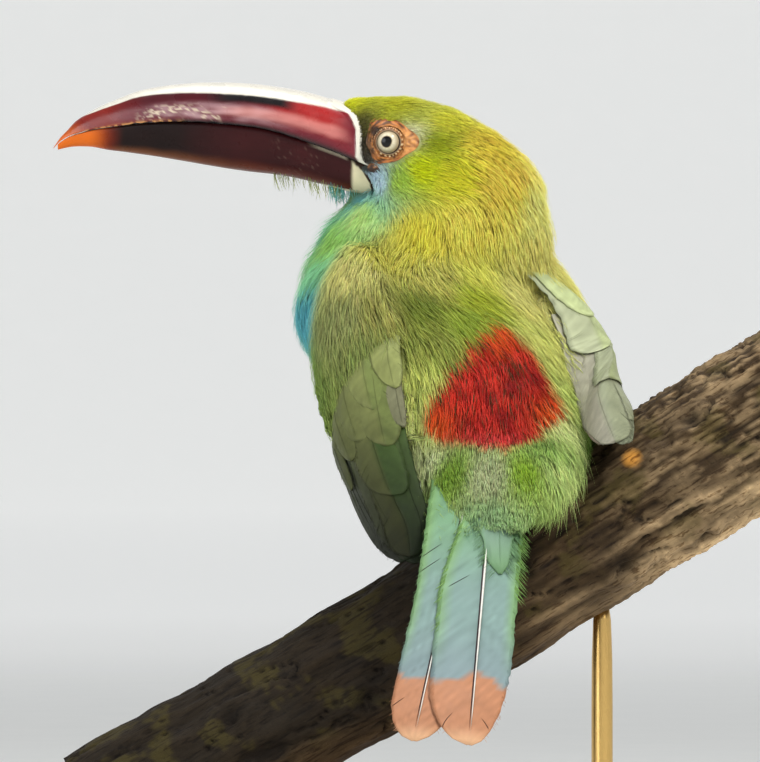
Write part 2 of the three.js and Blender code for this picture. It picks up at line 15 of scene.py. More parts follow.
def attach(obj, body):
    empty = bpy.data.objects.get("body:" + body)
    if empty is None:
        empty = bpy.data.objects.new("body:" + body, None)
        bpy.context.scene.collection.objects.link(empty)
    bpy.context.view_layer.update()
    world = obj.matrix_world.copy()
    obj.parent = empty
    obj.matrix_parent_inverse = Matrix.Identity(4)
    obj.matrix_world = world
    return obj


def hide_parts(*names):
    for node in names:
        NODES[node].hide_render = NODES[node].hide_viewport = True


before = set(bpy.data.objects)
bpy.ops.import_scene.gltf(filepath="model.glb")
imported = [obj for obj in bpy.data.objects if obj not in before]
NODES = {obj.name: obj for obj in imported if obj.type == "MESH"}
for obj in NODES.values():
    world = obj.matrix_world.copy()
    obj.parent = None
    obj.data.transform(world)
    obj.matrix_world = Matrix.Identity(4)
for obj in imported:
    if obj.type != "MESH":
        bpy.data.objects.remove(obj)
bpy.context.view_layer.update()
MM = 0.001
rng = np.random.default_rng(11)
BAKE_MAP = "OFBake"


# ---- Numbers and curves ----
def unit(v):
    return v / np.maximum(np.linalg.norm(v, axis=-1, keepdims=True), 1e-9)


def lerp(a, b, t):
    return a + (b - a) * t


def smooth(x, low, high):
    """0 below low, 1 above high and an even slope between."""
    t = np.clip((x - low) / (high - low), 0, 1)
    return t * t * (3 - 2 * t)


def ridge(away, width, power=2):
    """1 on a line and falling off on both sides of it."""
    return np.exp(-((away / width) ** power))


def linear(*colour):
    """A colour of 0 to 255 as the eye reads it, in the linear light that Blender uses."""
    c = np.array(colour, float) / 255
    return np.where(c <= 0.04045, c / 12.92, ((c + 0.055) / 1.055) ** 2.4)


def tinted(colour, share, *tint):
    """Colours with a tint of 0 to 255 laid over them by a share."""
    return lerp(colour, linear(*tint), share[..., None])


def around(count):
    """Angles evenly round a circle."""
    return np.linspace(0, 2 * math.pi, count, endpoint=False)


def curve_through(pairs):
    """A smooth curve through (x, y) pairs, read as a function of x."""
    xs, ys = np.array(pairs, float).T
    slopes = np.diff(ys) / np.diff(xs)
    inner = (ys[2:] - ys[:-2]) / (xs[2:] - xs[:-2])
    m = np.concatenate([slopes[:1], inner, slopes[-1:]])

    def at(x):
        x = np.asarray(x, float)
        i = np.clip(np.searchsorted(xs, x, side="right") - 1, 0, len(xs) - 2)
        h = xs[i + 1] - xs[i]
        t = (x - xs[i]) / h
        start = (2 * t**3 - 3 * t**2 + 1) * ys[i] + (t**3 - 2 * t**2 + t) * h * m[i]
        return start + (3 * t**2 - 2 * t**3) * ys[i + 1] + (t**3 - t**2) * h * m[i + 1]

    return at


def centripetal(points, t):
    """Points at shares t of a centripetal Catmull-Rom curve, as the part's source draws it."""
    points = np.array(points, float)
    points = np.vstack([2 * points[0] - points[1], points, 2 * points[-1] - points[-2]])
    spans = len(points) - 3
    t = np.asarray(t, float)
    i = np.clip((t * spans).astype(int), 0, spans - 1)
    w = (t * spans - i)[..., None]
    p0, p1, p2, p3 = (points[i + k] for k in range(4))
    d0, d1, d2 = (np.sqrt(np.linalg.norm(b - a, axis=-1, keepdims=True)) for a, b in ((p0, p1), (p1, p2), (p2, p3)))
    m1 = ((p1 - p0) / d0 - (p2 - p0) / (d0 + d1) + (p2 - p1) / d1) * d1
    m2 = ((p2 - p1) / d1 - (p3 - p1) / (d1 + d2) + (p3 - p2) / d2) * d1
    return p1 + m1 * w + (3 * (p2 - p1) - 2 * m1 - m2) * w**2 + (2 * (p1 - p2) + m1 + m2) * w**3


def cloud(points, size, seed):
    """Soft noise between about -1 and 1, with lumps of a given size, at an array of points."""
    flat = np.reshape(points, (-1, 3)) / size + seed
    values = [noise.noise(p) for p in flat.tolist()]
    return np.reshape(values, np.shape(points)[:-1])


# ---- Meshes ----
def mesh_object(name, points, faces, colour=None, uv=None, extra=None):
    """An object from points in millimetres.

    faces is an array or a list of arrays; colour, uv and the values in extra are per point."""
    faces = [np.asarray(f, np.int32) for f in (faces if isinstance(faces, list) else [faces])]
    faces = [f for f in faces if len(f)]
    loops = np.concatenate([f.ravel() for f in faces])
    totals = np.concatenate([np.full(len(f), f.shape[1]) for f in faces])
    mesh = bpy.data.meshes.new(name)
    mesh.vertices.add(len(points))
    mesh.vertices.foreach_set("co", (np.asarray(points, np.float32) * MM).ravel())
    mesh.loops.add(len(loops))
    mesh.loops.foreach_set("vertex_index", loops)
    mesh.polygons.add(len(totals))
    mesh.polygons.foreach_set("loop_start", np.concatenate([[0], np.cumsum(totals)[:-1]]).astype(np.int32))
    mesh.update(calc_edges=True)
    mesh.validate()
    mesh.shade_smooth()
    if colour is not None:
        paint(mesh, colour)
    if uv is not None:
        layer = mesh.uv_layers.new(name=BAKE_MAP)
        layer.data.foreach_set("uv", np.asarray(uv, np.float32)[loops].ravel())
    for key, values in (extra or {}).items():
        mesh.attributes.new(key, "FLOAT", "POINT").data.foreach_set("value", np.asarray(values, np.float32))
    obj = bpy.data.objects.new(name, mesh)
    bpy.context.scene.collection.objects.link(obj)
    return obj


def paint(mesh, colour):
    layer = mesh.color_attributes.new("Colour", "FLOAT_COLOR", "POINT")
    rgba = np.ones((len(colour), 4), np.float32)
    rgba[:, :3] = np.clip(colour, 0, 1)
    layer.data.foreach_set("color", rgba.ravel())


def grid_faces(rows, columns):
    """Quads between the neighbours in rings of points, each ring closed."""
    i, j = np.meshgrid(np.arange(rows - 1), np.arange(columns), indexing="ij")
    a = i * columns + j
    b = i * columns + (j + 1) % columns
    return np.stack([a, b, b + columns, a + columns], -1).reshape(-1, 4)


def cap_faces(ring, reverse=False):
    """Triangles that close a ring of point numbers by a fan from its first."""
    fan = np.stack([np.full(len(ring) - 2, ring[0]), ring[1:-1], ring[2:]], -1)
    return fan[:, ::-1] if reverse else fan


def tube(rings):
    """Points and faces of a closed form through rings of points, wound so that its faces look out."""
    rows, columns = rings.shape[:2]
    points = rings.reshape(-1, 3)
    quads = grid_faces(rows, columns)
    caps = np.vstack([cap_faces(np.arange(columns), True), cap_faces(np.arange(columns) + (rows - 1) * columns)])
    across = rings - rings.mean(1, keepdims=True)
    turn = np.cross(across[:, :-1], across[:, 1:]).sum(1)
    along = np.gradient(rings.mean(1), axis=0)
    if (turn * along).sum() < 0:
        quads, caps = quads[:, ::-1], caps[:, ::-1]
    return points, [quads, caps]


class Pile:
    """Many small closed forms joined into one object."""

    def __init__(self):
        self.parts = []
        self.count = 0

    def add(self, points, faces, colour, uv, **extra):
        faces = [np.asarray(f) + self.count for f in (faces if isinstance(faces, list) else [faces])]
        self.count += len(points)
        self.parts.append((points, faces, colour, uv, extra))

    def build(self, name, material):
        quads = [f for part in self.parts for f in part[1] if f.shape[1] == 4]
        tris = [f for part in self.parts for f in part[1] if f.shape[1] == 3]
        faces = [np.vstack(group) for group in (quads, tris) if group]
        points, colour, uv = (np.vstack([part[k] for part in self.parts]) for k in (0, 2, 3))
        extra = {key: np.concatenate([part[4][key] for part in self.parts]) for key in self.parts[0][4]}
        obj = mesh_object(name, points, faces, colour, uv, extra)
        obj.data.materials.append(material)
        return obj


def blades(paths, across, up, widths, depth=0.5):
    """Closed three-sided blades: points (count, 3 * steps - 2, 3) and the triangles of them all.

    paths is (count, steps, 3); across and up are unit vectors like it or (count, 3); widths is (count, steps)."""
    count, steps = paths.shape[:2]
    across, up = (v[:, None] if v.ndim == 2 else v for v in (across, up))
    half = widths[:, :-1, None] / 2
    body = paths[:, :-1]
    edge = np.broadcast_to(across, paths.shape)[:, :-1] * half
    crest = np.broadcast_to(up, paths.shape)[:, :-1] * half * 2 * depth
    rings = np.stack([body - edge, body + edge, body + crest], 2).reshape(count, -1, 3)
    points = np.concatenate([rings, paths[:, -1:]], 1)
    faces = [(0, 2, 1)]
    for i in range(steps - 2):
        for j in range(3):
            a, b = 3 * i + j, 3 * i + (j + 1) % 3
            faces += [(a, b, b + 3), (a, b + 3, a + 3)]
    last, tip = 3 * (steps - 2), 3 * (steps - 1)
    faces += [(last + j, last + (j + 1) % 3, tip) for j in range(3)]
    faces = np.array(faces)
    a, b, c = (points[0][faces[:, k]] for k in range(3))
    if np.einsum("ij,ij->i", a, np.cross(b, c)).sum() < 0:
        faces = faces[:, ::-1]
    start = np.arange(count)[:, None, None] * points.shape[1]
    return points, (faces[None] + start).reshape(-1, 3)


def blade_tint(colours):
    """Blades' colours, (count, steps, 3), for the points of blades()."""
    return np.concatenate([np.repeat(colours[:, :-1], 3, 1), colours[:, -1:]], 1)


def read(items, key, kind=np.float32, width=3):
    """One property of all the items of a mesh, as an array."""
    values = np.zeros(len(items) * width, kind)
    items.foreach_get(key, values)
    return values.reshape(-1, width)


def read_points(mesh):
    return read(mesh.vertices, "co").astype(float) / MM


def read_normals(mesh):
    return read(mesh.vertices, "normal").astype(float)


def node_form(*names):
    """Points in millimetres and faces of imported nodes, as one mesh."""
    points, faces, start = [], [], 0
    for name in names:
        mesh = NODES[name].data
        mesh.calc_loop_triangles()
        corners = read(mesh.vertices, "co") / MM
        merged, index = np.unique(np.round(corners, 3), axis=0, return_inverse=True)
        points.append(merged)
        faces.append(index.ravel()[read(mesh.loop_triangles, "vertices", np.int32)] + start)
        start += len(merged)
    return np.vstack(points), np.vstack(faces)


def write_points(mesh, points):
    mesh.vertices.foreach_set("co", (points * MM).astype(np.float32).ravel())
    mesh.update()


def modified(obj, kind, **settings):
    """Adds a modifier, applies it and gives the object back."""
    modifier = obj.modifiers.new(kind.title(), kind)
    for key, value in settings.items():
        setattr(modifier, key, value)
    bpy.context.view_layer.objects.active = obj
    bpy.ops.object.modifier_apply(modifier=modifier.name)
    return obj


def remeshed(name, points, faces, voxel, grow, soften):
    """One closed skin of even small faces round a form, grown first so that parts a hair apart join."""
    obj = mesh_object(name, points, faces)
    write_points(obj.data, points + read_normals(obj.data) * grow)
    modified(obj, "REMESH", mode="VOXEL", voxel_size=voxel * MM)
    modified(obj, "SMOOTH", factor=0.5, iterations=soften)
    obj.data.shade_smooth()
    return obj


def unwrap(obj):
    """A plain unwrap of a form that has no map of its own."""
    bpy.context.view_layer.objects.active = obj
    for other in bpy.context.selected_objects:
        other.select_set(False)
    obj.select_set(True)
    bpy.ops.object.mode_set(mode="EDIT")
    bpy.ops.mesh.select_all(action="SELECT")
    bpy.ops.uv.smart_project(angle_limit=math.radians(66), island_margin=0.004)
    bpy.ops.object.mode_set(mode="OBJECT")
    obj.data.uv_layers[0].name = BAKE_MAP


def finished(obj, material=None, replaces=()):
    """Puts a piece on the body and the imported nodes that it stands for."""
    if material:
        obj.data.materials.clear()
        obj.data.materials.append(material)
    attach(obj, "root")
    if replaces:
        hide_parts(*replaces)
    return obj


# ---- Materials ----
class Look:
    """A material, with short ways to add nodes. A socket's value is a number, a colour or another node's output."""

    def __init__(self, name, **settings):
        self.material = bpy.data.materials.new(name)
        self.material.use_nodes = True
        self.nodes = self.material.node_tree.nodes
        self.links = self.material.node_tree.links
        self.shader = self.nodes["Principled BSDF"]
        self.set(**settings)

    def put(self, socket, value):
        if isinstance(value, bpy.types.NodeSocket):
            self.links.new(value, socket)
        elif isinstance(value, (tuple, np.ndarray)) and socket.type == "RGBA":
            socket.default_value = (*value[:3], 1)
        else:
            socket.default_value = value

    def set(self, **settings):
        for key, value in settings.items():
            self.put(self.shader.inputs[key.replace("_", " ").title().replace("Ior", "IOR")], value)

    def node(self, kind, inputs=(), output=0, **props):
        node = self.nodes.new("ShaderNode" + kind)
        for key, value in props.items():
            setattr(node, key, value)
        for key, value in dict(inputs).items():
            self.put(node.inputs[key], value)
        return node.outputs[output]

    def attribute(self, name, output="Color"):
        return self.node("Attribute", attribute_name=name, output=output)

    def place(self, stretch=(1, 1, 1), turn=(0, 0, 0)):
        """Object coordinates in millimetres, turned and then stretched."""
        coordinate = self.node("TexCoord", output="Object")
        turned = self.node("Mapping", {0: coordinate, "Rotation": turn}, vector_type="TEXTURE")
        return self.node("Mapping", {0: turned, "Scale": tuple(1000 * s for s in stretch)})

    def noise(self, vector, size, detail, distortion=0.0):
        return self.node("TexNoise", {"Vector": vector, "Scale": 1 / size, "Detail": detail, "Distortion": distortion})

    def cells(self, vector, size, feature="F1"):
        return self.node("TexVoronoi", {"Vector": vector, "Scale": 1 / size}, feature=feature)

    def math(self, operation, a, b=0.0):
        return self.node("Math", {0: a, 1: b}, operation=operation)

    def span(self, value, low, high, to_low=0.0, to_high=1.0):
        inputs = {"Value": value, "From Min": low, "From Max": high, "To Min": to_low, "To Max": to_high}
        return self.node("MapRange", inputs, interpolation_type="SMOOTHSTEP")

    def waver(self, noise, low, high):
        """A value that wavers between low and high as the noise does."""
        return self.span(noise, 0.3, 0.7, low, high)

    def mix(self, share, a, b, blend="MIX"):
        inputs = {0: share, 6: a, 7: b}
        return self.node("Mix", inputs, output=2, data_type="RGBA", blend_type=blend)

    def bump(self, height, distance, strength, normal=None):
        inputs = {"Height": height, "Distance": distance * MM, "Strength": strength}
        if normal is not None:
            inputs["Normal"] = normal
        return self.node("Bump", inputs)


# ---- Wings ----
# Both edges and the bulge run from the wrist to the tip; the hind edge is tucked in near the wrist. lift is how far
# the feathers stand off the folded surface along it, and cover is the share of it that the coat hides, read at
# COVER_AT: the leading edge, the middle and the trailing edge.
WINGS = {
    "left": {
        "out": -1,
        "leading": [(-39, 32, 196), (-42, 20, 172), (-38, 2, 149), (-31.5, -13, 131), (-25, -25, 119),
                    (-19.5, -32, 112)],
        "trailing": [(-18, 12, 203), (-15, -6, 176), (-14.5, -18, 151), (-12, -26, 133), (-9.5, -31, 122),
                     (-11.5, -35, 112)],
        "bulge": [8, 9, 6.5, 4.5, 2.5, 0.5],
        "tuck": 0.8,
        "lift": [(0, -2), (0.12, 0.6), (0.25, 0.8), (0.46, 0), (1, 0)],
        "cover": (0.43, 0.315, 0.2),
    },
    "right": {
        "out": 1,
        "leading": [(17, 70, 190), (32, 46, 163), (43.8, 20, 161), (47.2, -3, 157), (48, -17, 151), (47.5, -28, 146)],
        "trailing": [(17, 37, 206), (29.5, 14, 175), (32.5, 0, 162.5), (34, -14, 152.5), (36.5, -25, 148),
                     (40, -34, 144.5)],
        "bulge": [10.3, 11.4, 9, 7, 3, 0.4],
        "tuck": 2.0,
        "lift": [(0, -2.5), (0.15, 0), (0.35, 0.1), (0.55, 0.2), (1, 0)],
        "cover": (0.36, 0.13, 0.09),
    },
}
COVER_AT = (0, 0.5, 1)
WING_GRID = (90, 24)  # places along and across the wing that stand for it in a search
TANGENT_STEP = 1e-3


def cover_start(name, v):
    """How far along the wing the coat reaches, v of the way across it."""
    return np.interp(v, COVER_AT, WINGS[name]["cover"])


def wing_surface(name):
    """place(t, v, lift) on the folded wing: over the covert-clad arm near the wrist, on the plates beyond it."""
    wing = WINGS[name]
    edges = wing["leading"], wing["trailing"]
    lifts = curve_through(wing["lift"])
    swell = curve_through([(i / (len(wing["bulge"]) - 1), b) for i, b in enumerate(wing["bulge"])])

    def place(t, v, lift):
        front, rear = (centripetal(edge, t) for edge in edges)
        fore, aft = (
            unit(centripetal(edge, t + TANGENT_STEP) - centripetal(edge, t - TANGENT_STEP)) for edge in edges
        )
        v = np.asarray(v, float)
        out = unit(np.cross(rear - front, lerp(fore, aft, v[..., None]))) * wing["out"]
        height = swell(t) * 4 * v * (1 - v) + lifts(np.clip(t, 0, 1)) + lift
        height = height - wing["tuck"] * smooth(v, 0.75, 1.05) * (1 - smooth(t, 0.3, 0.5))
        return lerp(front, rear, v[..., None]) + out * height[..., None]

    return place


class WingField:
    """Where places are against a folded wing: shares along and across it, and the height over its surface."""

    def __init__(self, name):
        t, v = np.meshgrid(*(np.linspace(0, 1, n) for n in WING_GRID), indexing="ij")
        surface = wing_surface(name)
        self.points = surface(t, v, 0 * t).reshape(-1, 3)
        self.out = unit(surface(t, v, 1 + 0 * t).reshape(-1, 3) - self.points)
        self.t, self.v = t.ravel(), v.ravel()
        self.name = name
        self.tree = KDTree(len(self.points))
        for i, p in enumerate(self.points.tolist()):
            self.tree.insert(p, i)
        self.tree.balance()

    def read(self, points):
        """t, v, height over the surface, distance from it aside, and the way out of it."""
        index = np.array([self.tree.find(p)[1] for p in points.tolist()], int)
        away = points - self.points[index]
        height = (away * self.out[index]).sum(-1)
        aside = np.linalg.norm(away - self.out[index] * height[:, None], axis=-1)
        return self.t[index], self.v[index], height, aside, self.out[index]

    def covered(self, points, normals):
        """True where long wing feathers lie over the skin, so that no coat grows there."""
        t, v, height, aside, out = self.read(points)
        start = cover_start(self.name, v) + 0.07 * cloud(points, 5, 61) + 0.03 * cloud(points, 1.2, 65)
        near = aside < np.where(v > 0.97, 0.8, 2.6)
        facing = (normals * out).sum(-1) > -0.1
        top = near & (height > -9) & (height < 5) & (t > start) & (facing | (v > 0.06))
        between = (aside < 1.6) & (height < -1.5) & (height > -9) & (v > 0.04) & (v < 0.86) & (t > 0.12)
        return top | between

    def crossed(self, line):
        """True for tufts from beside the wing that would run through its long feathers."""
        t, v, _, aside, _ = self.read(line[:, 0])
        over = (aside < 1.5) & (v > 0.02) & (v < 0.98) & (t < cover_start(self.name, v) + 0.08)
        hit = np.zeros(len(line), bool)
        for k in (1, line.shape[1] - 1):
            t, v, height, aside, _ = self.read(line[:, k])
            beyond = t > cover_start(self.name, v) + 0.04
            hit |= beyond & (aside < 1.1) & (v > 0.03) & (v < 0.94) & (height > -9) & (height < 1.2)
        return hit & ~over


# ---- The head's own frame: x along the bill, y to the bird's left, z up ----
HEAD_AT = np.array((-8, 47, 224.6))
HEAD_TURN = np.array(Matrix.Rotation(math.radians(176), 3, "Z") @ Matrix.Rotation(math.radians(-5), 3, "X"))
SIDES = {1: "left", -1: "right"}  # the sign of y on each side of the head


def from_head(points):
    return np.asarray(points, float) @ HEAD_TURN.T + HEAD_AT


def to_head(points):
    return (points - HEAD_AT) @ HEAD_TURN


# ---- Plumage: what the coat is like at named places ----
# Each row is a place, the way the feathers lie there, their length, how far they lift and their colour.
# The head's rows are in its own frame, for its left side, and are mirrored to its right.
HEAD_COAT = {
    "forehead": ((24, 4, 16.5), (-1, 0, 0.25), 3.2, 0.5, (188, 190, 34)),
    "crown": ((8, 8, 17), (-1, 0, 0), 4.2, 0.6, (172, 172, 40)),
    "crown_back": ((-6, 12, 13), (-1, 0, -0.4), 5, 0.7, (184, 182, 50)),
    "hind_crown": ((-18, 13, 6), (-0.8, 0, -0.7), 6, 0.8, (204, 182, 62)),
    "brow": ((10, 14, 12), (-1, 0, -0.05), 3.4, 0.45, (166, 172, 26)),
    "pale_brow": ((4.8, 15.3, 10.3), (-1, 0, -0.25), 3.4, 0.5, (206, 206, 172)),
    "over_brow": ((4, 14, 14), (-1, 0, -0.1), 3.8, 0.5, (156, 162, 28)),
    "temple": ((-3, 17.5, 7), (-1, 0, -0.25), 4.2, 0.5, (138, 148, 8)),
    "lores": ((18.6, 12.5, 6), (-0.7, 0, -0.5), 1.5, 0.3, (46, 38, 26)),
    "lores_low": ((17.6, 13, 1.5), (-0.7, 0, -0.5), 1.6, 0.3, (58, 48, 38)),
    "lores_top": ((19.2, 11.5, 10.5), (-0.9, 0, 0.1), 1.8, 0.3, (74, 70, 32)),
    "cheek": ((1, 19, -1), (-1, 0, -0.35), 5.5, 0.6, (178, 188, 2)),
    "ear": ((-8, 19, -4), (-0.9, 0, -0.6), 6.5, 0.7, (196, 192, 44)),
    "under_eye": ((8.5, 18, -4.5), (-0.75, 0, -0.7), 4.4, 0.5, (150, 180, 56)),
    "blue_cheek": ((13.6, 15.5, -5), (-0.4, 0, -0.9), 4.2, 0.5, (176, 200, 224)),
    "malar": ((14, 15, -12), (-0.2, 0, -1), 5.5, 0.7, (128, 188, 164)),
    "chin": ((25, 4, -11), (0.12, 0, -1), 8, 2.2, (104, 132, 60)),
    "throat": ((19, 10, -13.5), (0, 0, -1), 8.5, 2, (84, 158, 164)),
}
BODY_COAT = {
    "throat_side": ((-28, 31, 209), (-0.2, -0.2, -1), 8, 0.9, (176, 216, 122)),
    "throat_front": ((-36, 45, 205), (-0.35, 0, -1), 9, 1.4, (96, 168, 128)),
    "neck_left": ((-37, 34, 201), (-0.6, -0.2, -0.8), 9, 0.9, (154, 204, 106)),
    "breast_edge": ((-42, 30, 192), (-0.3, -0.1, -0.9), 9, 0.9, (124, 186, 140)),
    "breast_blue": ((-44, 27, 179), (0.05, -0.2, -1), 9, 0.8, (90, 168, 182)),
    "breast_low": ((-43, 20, 160), (0.1, -0.3, -1), 9, 0.8, (112, 140, 40)),
    "nape": ((14, 30, 216), (0.35, -0.2, -0.9), 7.5, 1.2, (222, 188, 76)),
    "nape_right": ((22, 36, 209), (0.3, -0.2, -0.95), 8, 1.3, (244, 218, 122)),
    "neck_band": ((-11, 20, 203), (-0.22, -0.3, -0.9), 8, 0.7, (206, 194, 66)),
    "neck_mid": ((3, 21, 206), (0.05, -0.4, -0.9), 8, 0.7, (216, 198, 84)),
    "neck_low": ((-20, 14, 199), (-0.3, -0.4, -0.85), 8, 0.7, (186, 180, 80)),
    "shoulder_left": ((-31, 6, 192), (-0.08, -0.5, -0.85), 9, 0.8, (184, 180, 110)),
    "scapular_left": ((-34, -1, 179), (0.04, -0.4, -0.9), 10, 0.6, (136, 142, 88)),
    "scapular_in": ((-22, -4, 182), (0.3, -0.4, -0.8), 10, 0.8, (148, 146, 78)),
    "arm_left": ((-26, -12, 168), (0.1, -0.5, -0.85), 7, 0.4, (122, 134, 74)),
    "mantle": ((-6, 7, 190), (0.4, -0.5, -0.75), 9, 0.8, (176, 172, 88)),
    "mantle_right": ((8, 10, 193), (0.3, -0.5, -0.8), 9, 0.8, (210, 208, 92)),
    "mantle_low": ((-11, 0, 182), (0.6, -0.4, -0.7), 10, 0.9, (112, 124, 48)),
    "back": ((6, 5, 185), (0.8, -0.3, -0.55), 10, 0.9, (154, 164, 48)),
    "back_right": ((17, 17, 185), (0.3, -0.4, -0.85), 10, 0.8, (196, 190, 112)),
    "back_low_right": ((22, 2, 172), (0.3, -0.4, -0.85), 10, 0.9, (192, 196, 108)),
    "back_centre": ((4, -4, 177), (0.5, -0.45, -0.7), 10, 0.9, (140, 158, 56)),
    "back_low": ((-6, -9, 171), (0.45, -0.4, -0.75), 10, 0.8, (136, 144, 66)),
    "side_left": ((-10, -13, 160), (0.12, -0.6, -0.8), 10, 0.8, (182, 190, 100)),
    "rump": ((10, -15, 160), (0, -0.6, -0.8), 9.5, 0.9, (140, 150, 60)),
    "rump_left": ((-9, -18, 149), (-0.1, -0.6, -0.8), 10, 0.9, (184, 194, 112)),
    "rump_right": ((26, -12, 152), (0.3, -0.5, -0.8), 10, 1.4, (180, 194, 104)),
    "covert_edge": ((-11, -21, 140), (-0.04, -0.65, -0.75), 12, 1.6, (190, 200, 148)),
    "covert_left": ((-4, -27, 136), (0.05, -0.7, -0.7), 14, 0.8, (112, 142, 48)),
    "covert": ((8, -33, 136), (0, -0.7, -0.7), 15, 0.6, (160, 168, 126)),
    "covert_right": ((18, -32, 136), (0.1, -0.7, -0.7), 15, 1, (122, 152, 40)),
    "covert_tip": ((6, -40, 122), (0, -0.72, -0.68), 16, 0.7, (128, 156, 110)),
    "flank_right": ((24, -25, 140), (0.16, -0.6, -0.8), 11, 1.6, (134, 168, 84)),
    "flank_tuft": ((27, -19, 147), (0.3, -0.5, -0.8), 13, 2.8, (200, 212, 140)),
    "flank_tuft_low": ((25.5, -28, 135), (0.06, -0.6, -0.8), 12, 2.6, (188, 206, 130)),
    # Painted shade: these three rows paint the far right flank dark.
    "shaded_flank_low": ((31.5, -14, 134), (0.1, -0.6, -0.8), 10, 1, (58, 88, 24)),
    "shaded_flank_back": ((36, -1, 142), (0.15, -0.5, -0.8), 10, 1, (56, 86, 20)),
    "shaded_flank_deep": ((33, -11, 144), (0.15, -0.4, -0.9), 10, 1.2, (66, 98, 22)),
    "arm_right": ((42, 24, 176), (0.2, -0.6, -0.75), 7, 0.4, (198, 204, 134)),
    "shoulder_right": ((26, 40, 196), (0.3, -0.4, -0.85), 8, 0.6, (206, 196, 112)),
    "breast": ((-18, 66, 190), (0.1, 0, -1), 10, 0.9, (88, 158, 96)),
    "breast_right": ((14, 66, 186), (0.2, -0.1, -1), 10, 0.9, (112, 166, 78)),
    "belly_top": ((-14, 58, 164), (0.12, -0.6, -0.8), 11, 1, (122, 162, 62)),
    "belly": ((-8, 42, 152), (0.15, -0.8, -0.55), 12, 1.1, (138, 166, 62)),
    "belly_low": ((4, 20, 142), (0.15, -0.85, -0.5), 12, 1.2, (140, 164, 70)),
    "flank_left": ((-26, 10, 158), (0.15, -0.7, -0.6), 11, 1, (118, 148, 56)),
    "vent": ((8, -14, 130), (0.08, -0.78, -0.6), 13, 1.1, (150, 170, 92)),
    "undertail": ((6, -34, 116), (0, -0.75, -0.65), 14, 0.8, (128, 152, 70)),
}
PATCH = [  # the red patch over the rump, as seen from behind: x and z of its outline
    (11.4, 179.5), (7, 177), (0.5, 170), (-6.6, 161), (-10.6, 152.6), (-9.6, 149), (-5, 147.6), (5, 146.6), (12, 145.6),
    (18, 147.6), (27, 153), (28.8, 157), (25, 163.5), (20.6, 171.5), (15.6, 177),
]
PATCH_REDS = {
    "deep": linear(134, 22, 20),
    "red": linear(204, 46, 34),
    "orange": linear(214, 74, 24),
    "rose": linear(214, 62, 60),
    # gap is painted shade: the dark of the gaps between the red strands.
    "gap": linear(72, 56, 30),
}


def coat_table():
    """The rows of both tables as arrays: places, ways to lie, lengths, lifts and colours."""
    rows = []
    for (x, y, z), (ahead, left, up), *rest in HEAD_COAT.values():
        for side in SIDES:
            rows.append((from_head((x, y * side, z)), HEAD_TURN @ (ahead, left * side, up), *rest))
    places, lies, lengths, lifts, colours = zip(*rows, *BODY_COAT.values())
    lies, colours = unit(np.array(lies, float)), np.array([linear(*colour) for colour in colours])
    return np.array(places, float), lies, np.array(lengths), np.array(lifts), colours


COAT_PLACES, COAT_LIES, COAT_LENGTHS, COAT_LIFTS, COAT_COLOURS = coat_table()
BLEND_RADIUS = 3.0  # places nearer than this weigh alike


def coat_weights(points):
    away = ((points[:, None] - COAT_PLACES[None]) ** 2).sum(-1)
    weights = (away + BLEND_RADIUS**2) ** -2.2
    return weights / weights.sum(1, keepdims=True)


def lie_at(points, normals, weights=None):
    """The way the feathers lie, along the skin."""
    along = (coat_weights(points) if weights is None else weights) @ COAT_LIES
    along -= np.einsum("ij,ij->i", along, normals)[:, None] * normals
    return unit(along)


def inside(outline, x, z):
    """How far points are inside an outline, in millimetres; negative outside it."""
    outline = np.array(outline, float)
    ahead = np.roll(outline, -1, 0)
    p = np.stack([x, z], -1)[:, None]
    edge = ahead - outline
    share = np.clip(((p - outline) * edge).sum(-1) / (edge**2).sum(-1), 0, 1)
    away = np.linalg.norm(p - (outline + edge * share[..., None]), axis=-1).min(1)
    above = (outline[:, 1] <= z[:, None]) != (ahead[:, 1] <= z[:, None])
    rise = np.where(np.abs(edge[:, 1]) < 1e-9, 1e-9, edge[:, 1])
    left = x[:, None] < outline[:, 0] + (z[:, None] - outline[:, 1]) * edge[:, 0] / rise
    return np.where((above & left).sum(1) % 2 == 1, away, -away)


def red_patch(points, normals):
    """How much of the red patch is at each point, and its colour there."""
    x, z = points[:, 0], points[:, 2]
    wander = cloud(points, 4.0, 3) * 1.6 + cloud(points, 1.3, 9) * 0.8
    share = smooth(inside(PATCH, x, z + 2.2) + wander, -1.8, 1.6) * (normals[:, 1] < 0.1) * (points[:, 1] < 20)
    lumps = cloud(points, 5.0, 21)[:, None]
    colour = lerp(PATCH_REDS["deep"], PATCH_REDS["red"], smooth(lumps, -0.5, 0.4))
    corners = np.exp(-((x - 11.2) ** 2 + (z - 174) ** 2) / 22) + np.exp(-((x + 7) ** 2 + (z - 149) ** 2) / 30)
    corners += np.exp(-((x - 25) ** 2 + (z - 153) ** 2) / 26)
    colour = lerp(colour, PATCH_REDS["orange"], np.clip(corners, 0, 1)[:, None])
    fringe = np.exp(-((x - 9) ** 2) / 160) * smooth(z, 150, 145)
    return share, lerp(colour, PATCH_REDS["rose"], np.clip(fringe, 0, 1)[:, None])


def marking(points, normals):
    """The plumage's colour at points on the body: skin and coat both take theirs from here."""
    colour = coat_weights(points) @ COAT_COLOURS
    colour = colour * np.exp(0.16 * cloud(points, 6.0, 5) + 0.12 * cloud(points, 2.2, 40))[:, None]
    share, red = red_patch(points, normals)
    return lerp(colour, red, share[:, None]), share


# ---- Skin: one closed form under the coat ----
FLESH = ("trunk", "neck", "head", "wing_left_arm", "wing_right_arm")
SKIN = dict(voxel=1.15, grow=0.5, soften=8, depth=1.5, face_depth=0.8)
# The darker skin shows in the gaps between the tufts as painted shade.
SKIN_SHADE = 0.7  # the skin is this much darker than the coat over it
BROW = dict(at=(20, 0, 12.3), radii=(8, 9, 6.2))  # the forehead, which runs out over the bill's base


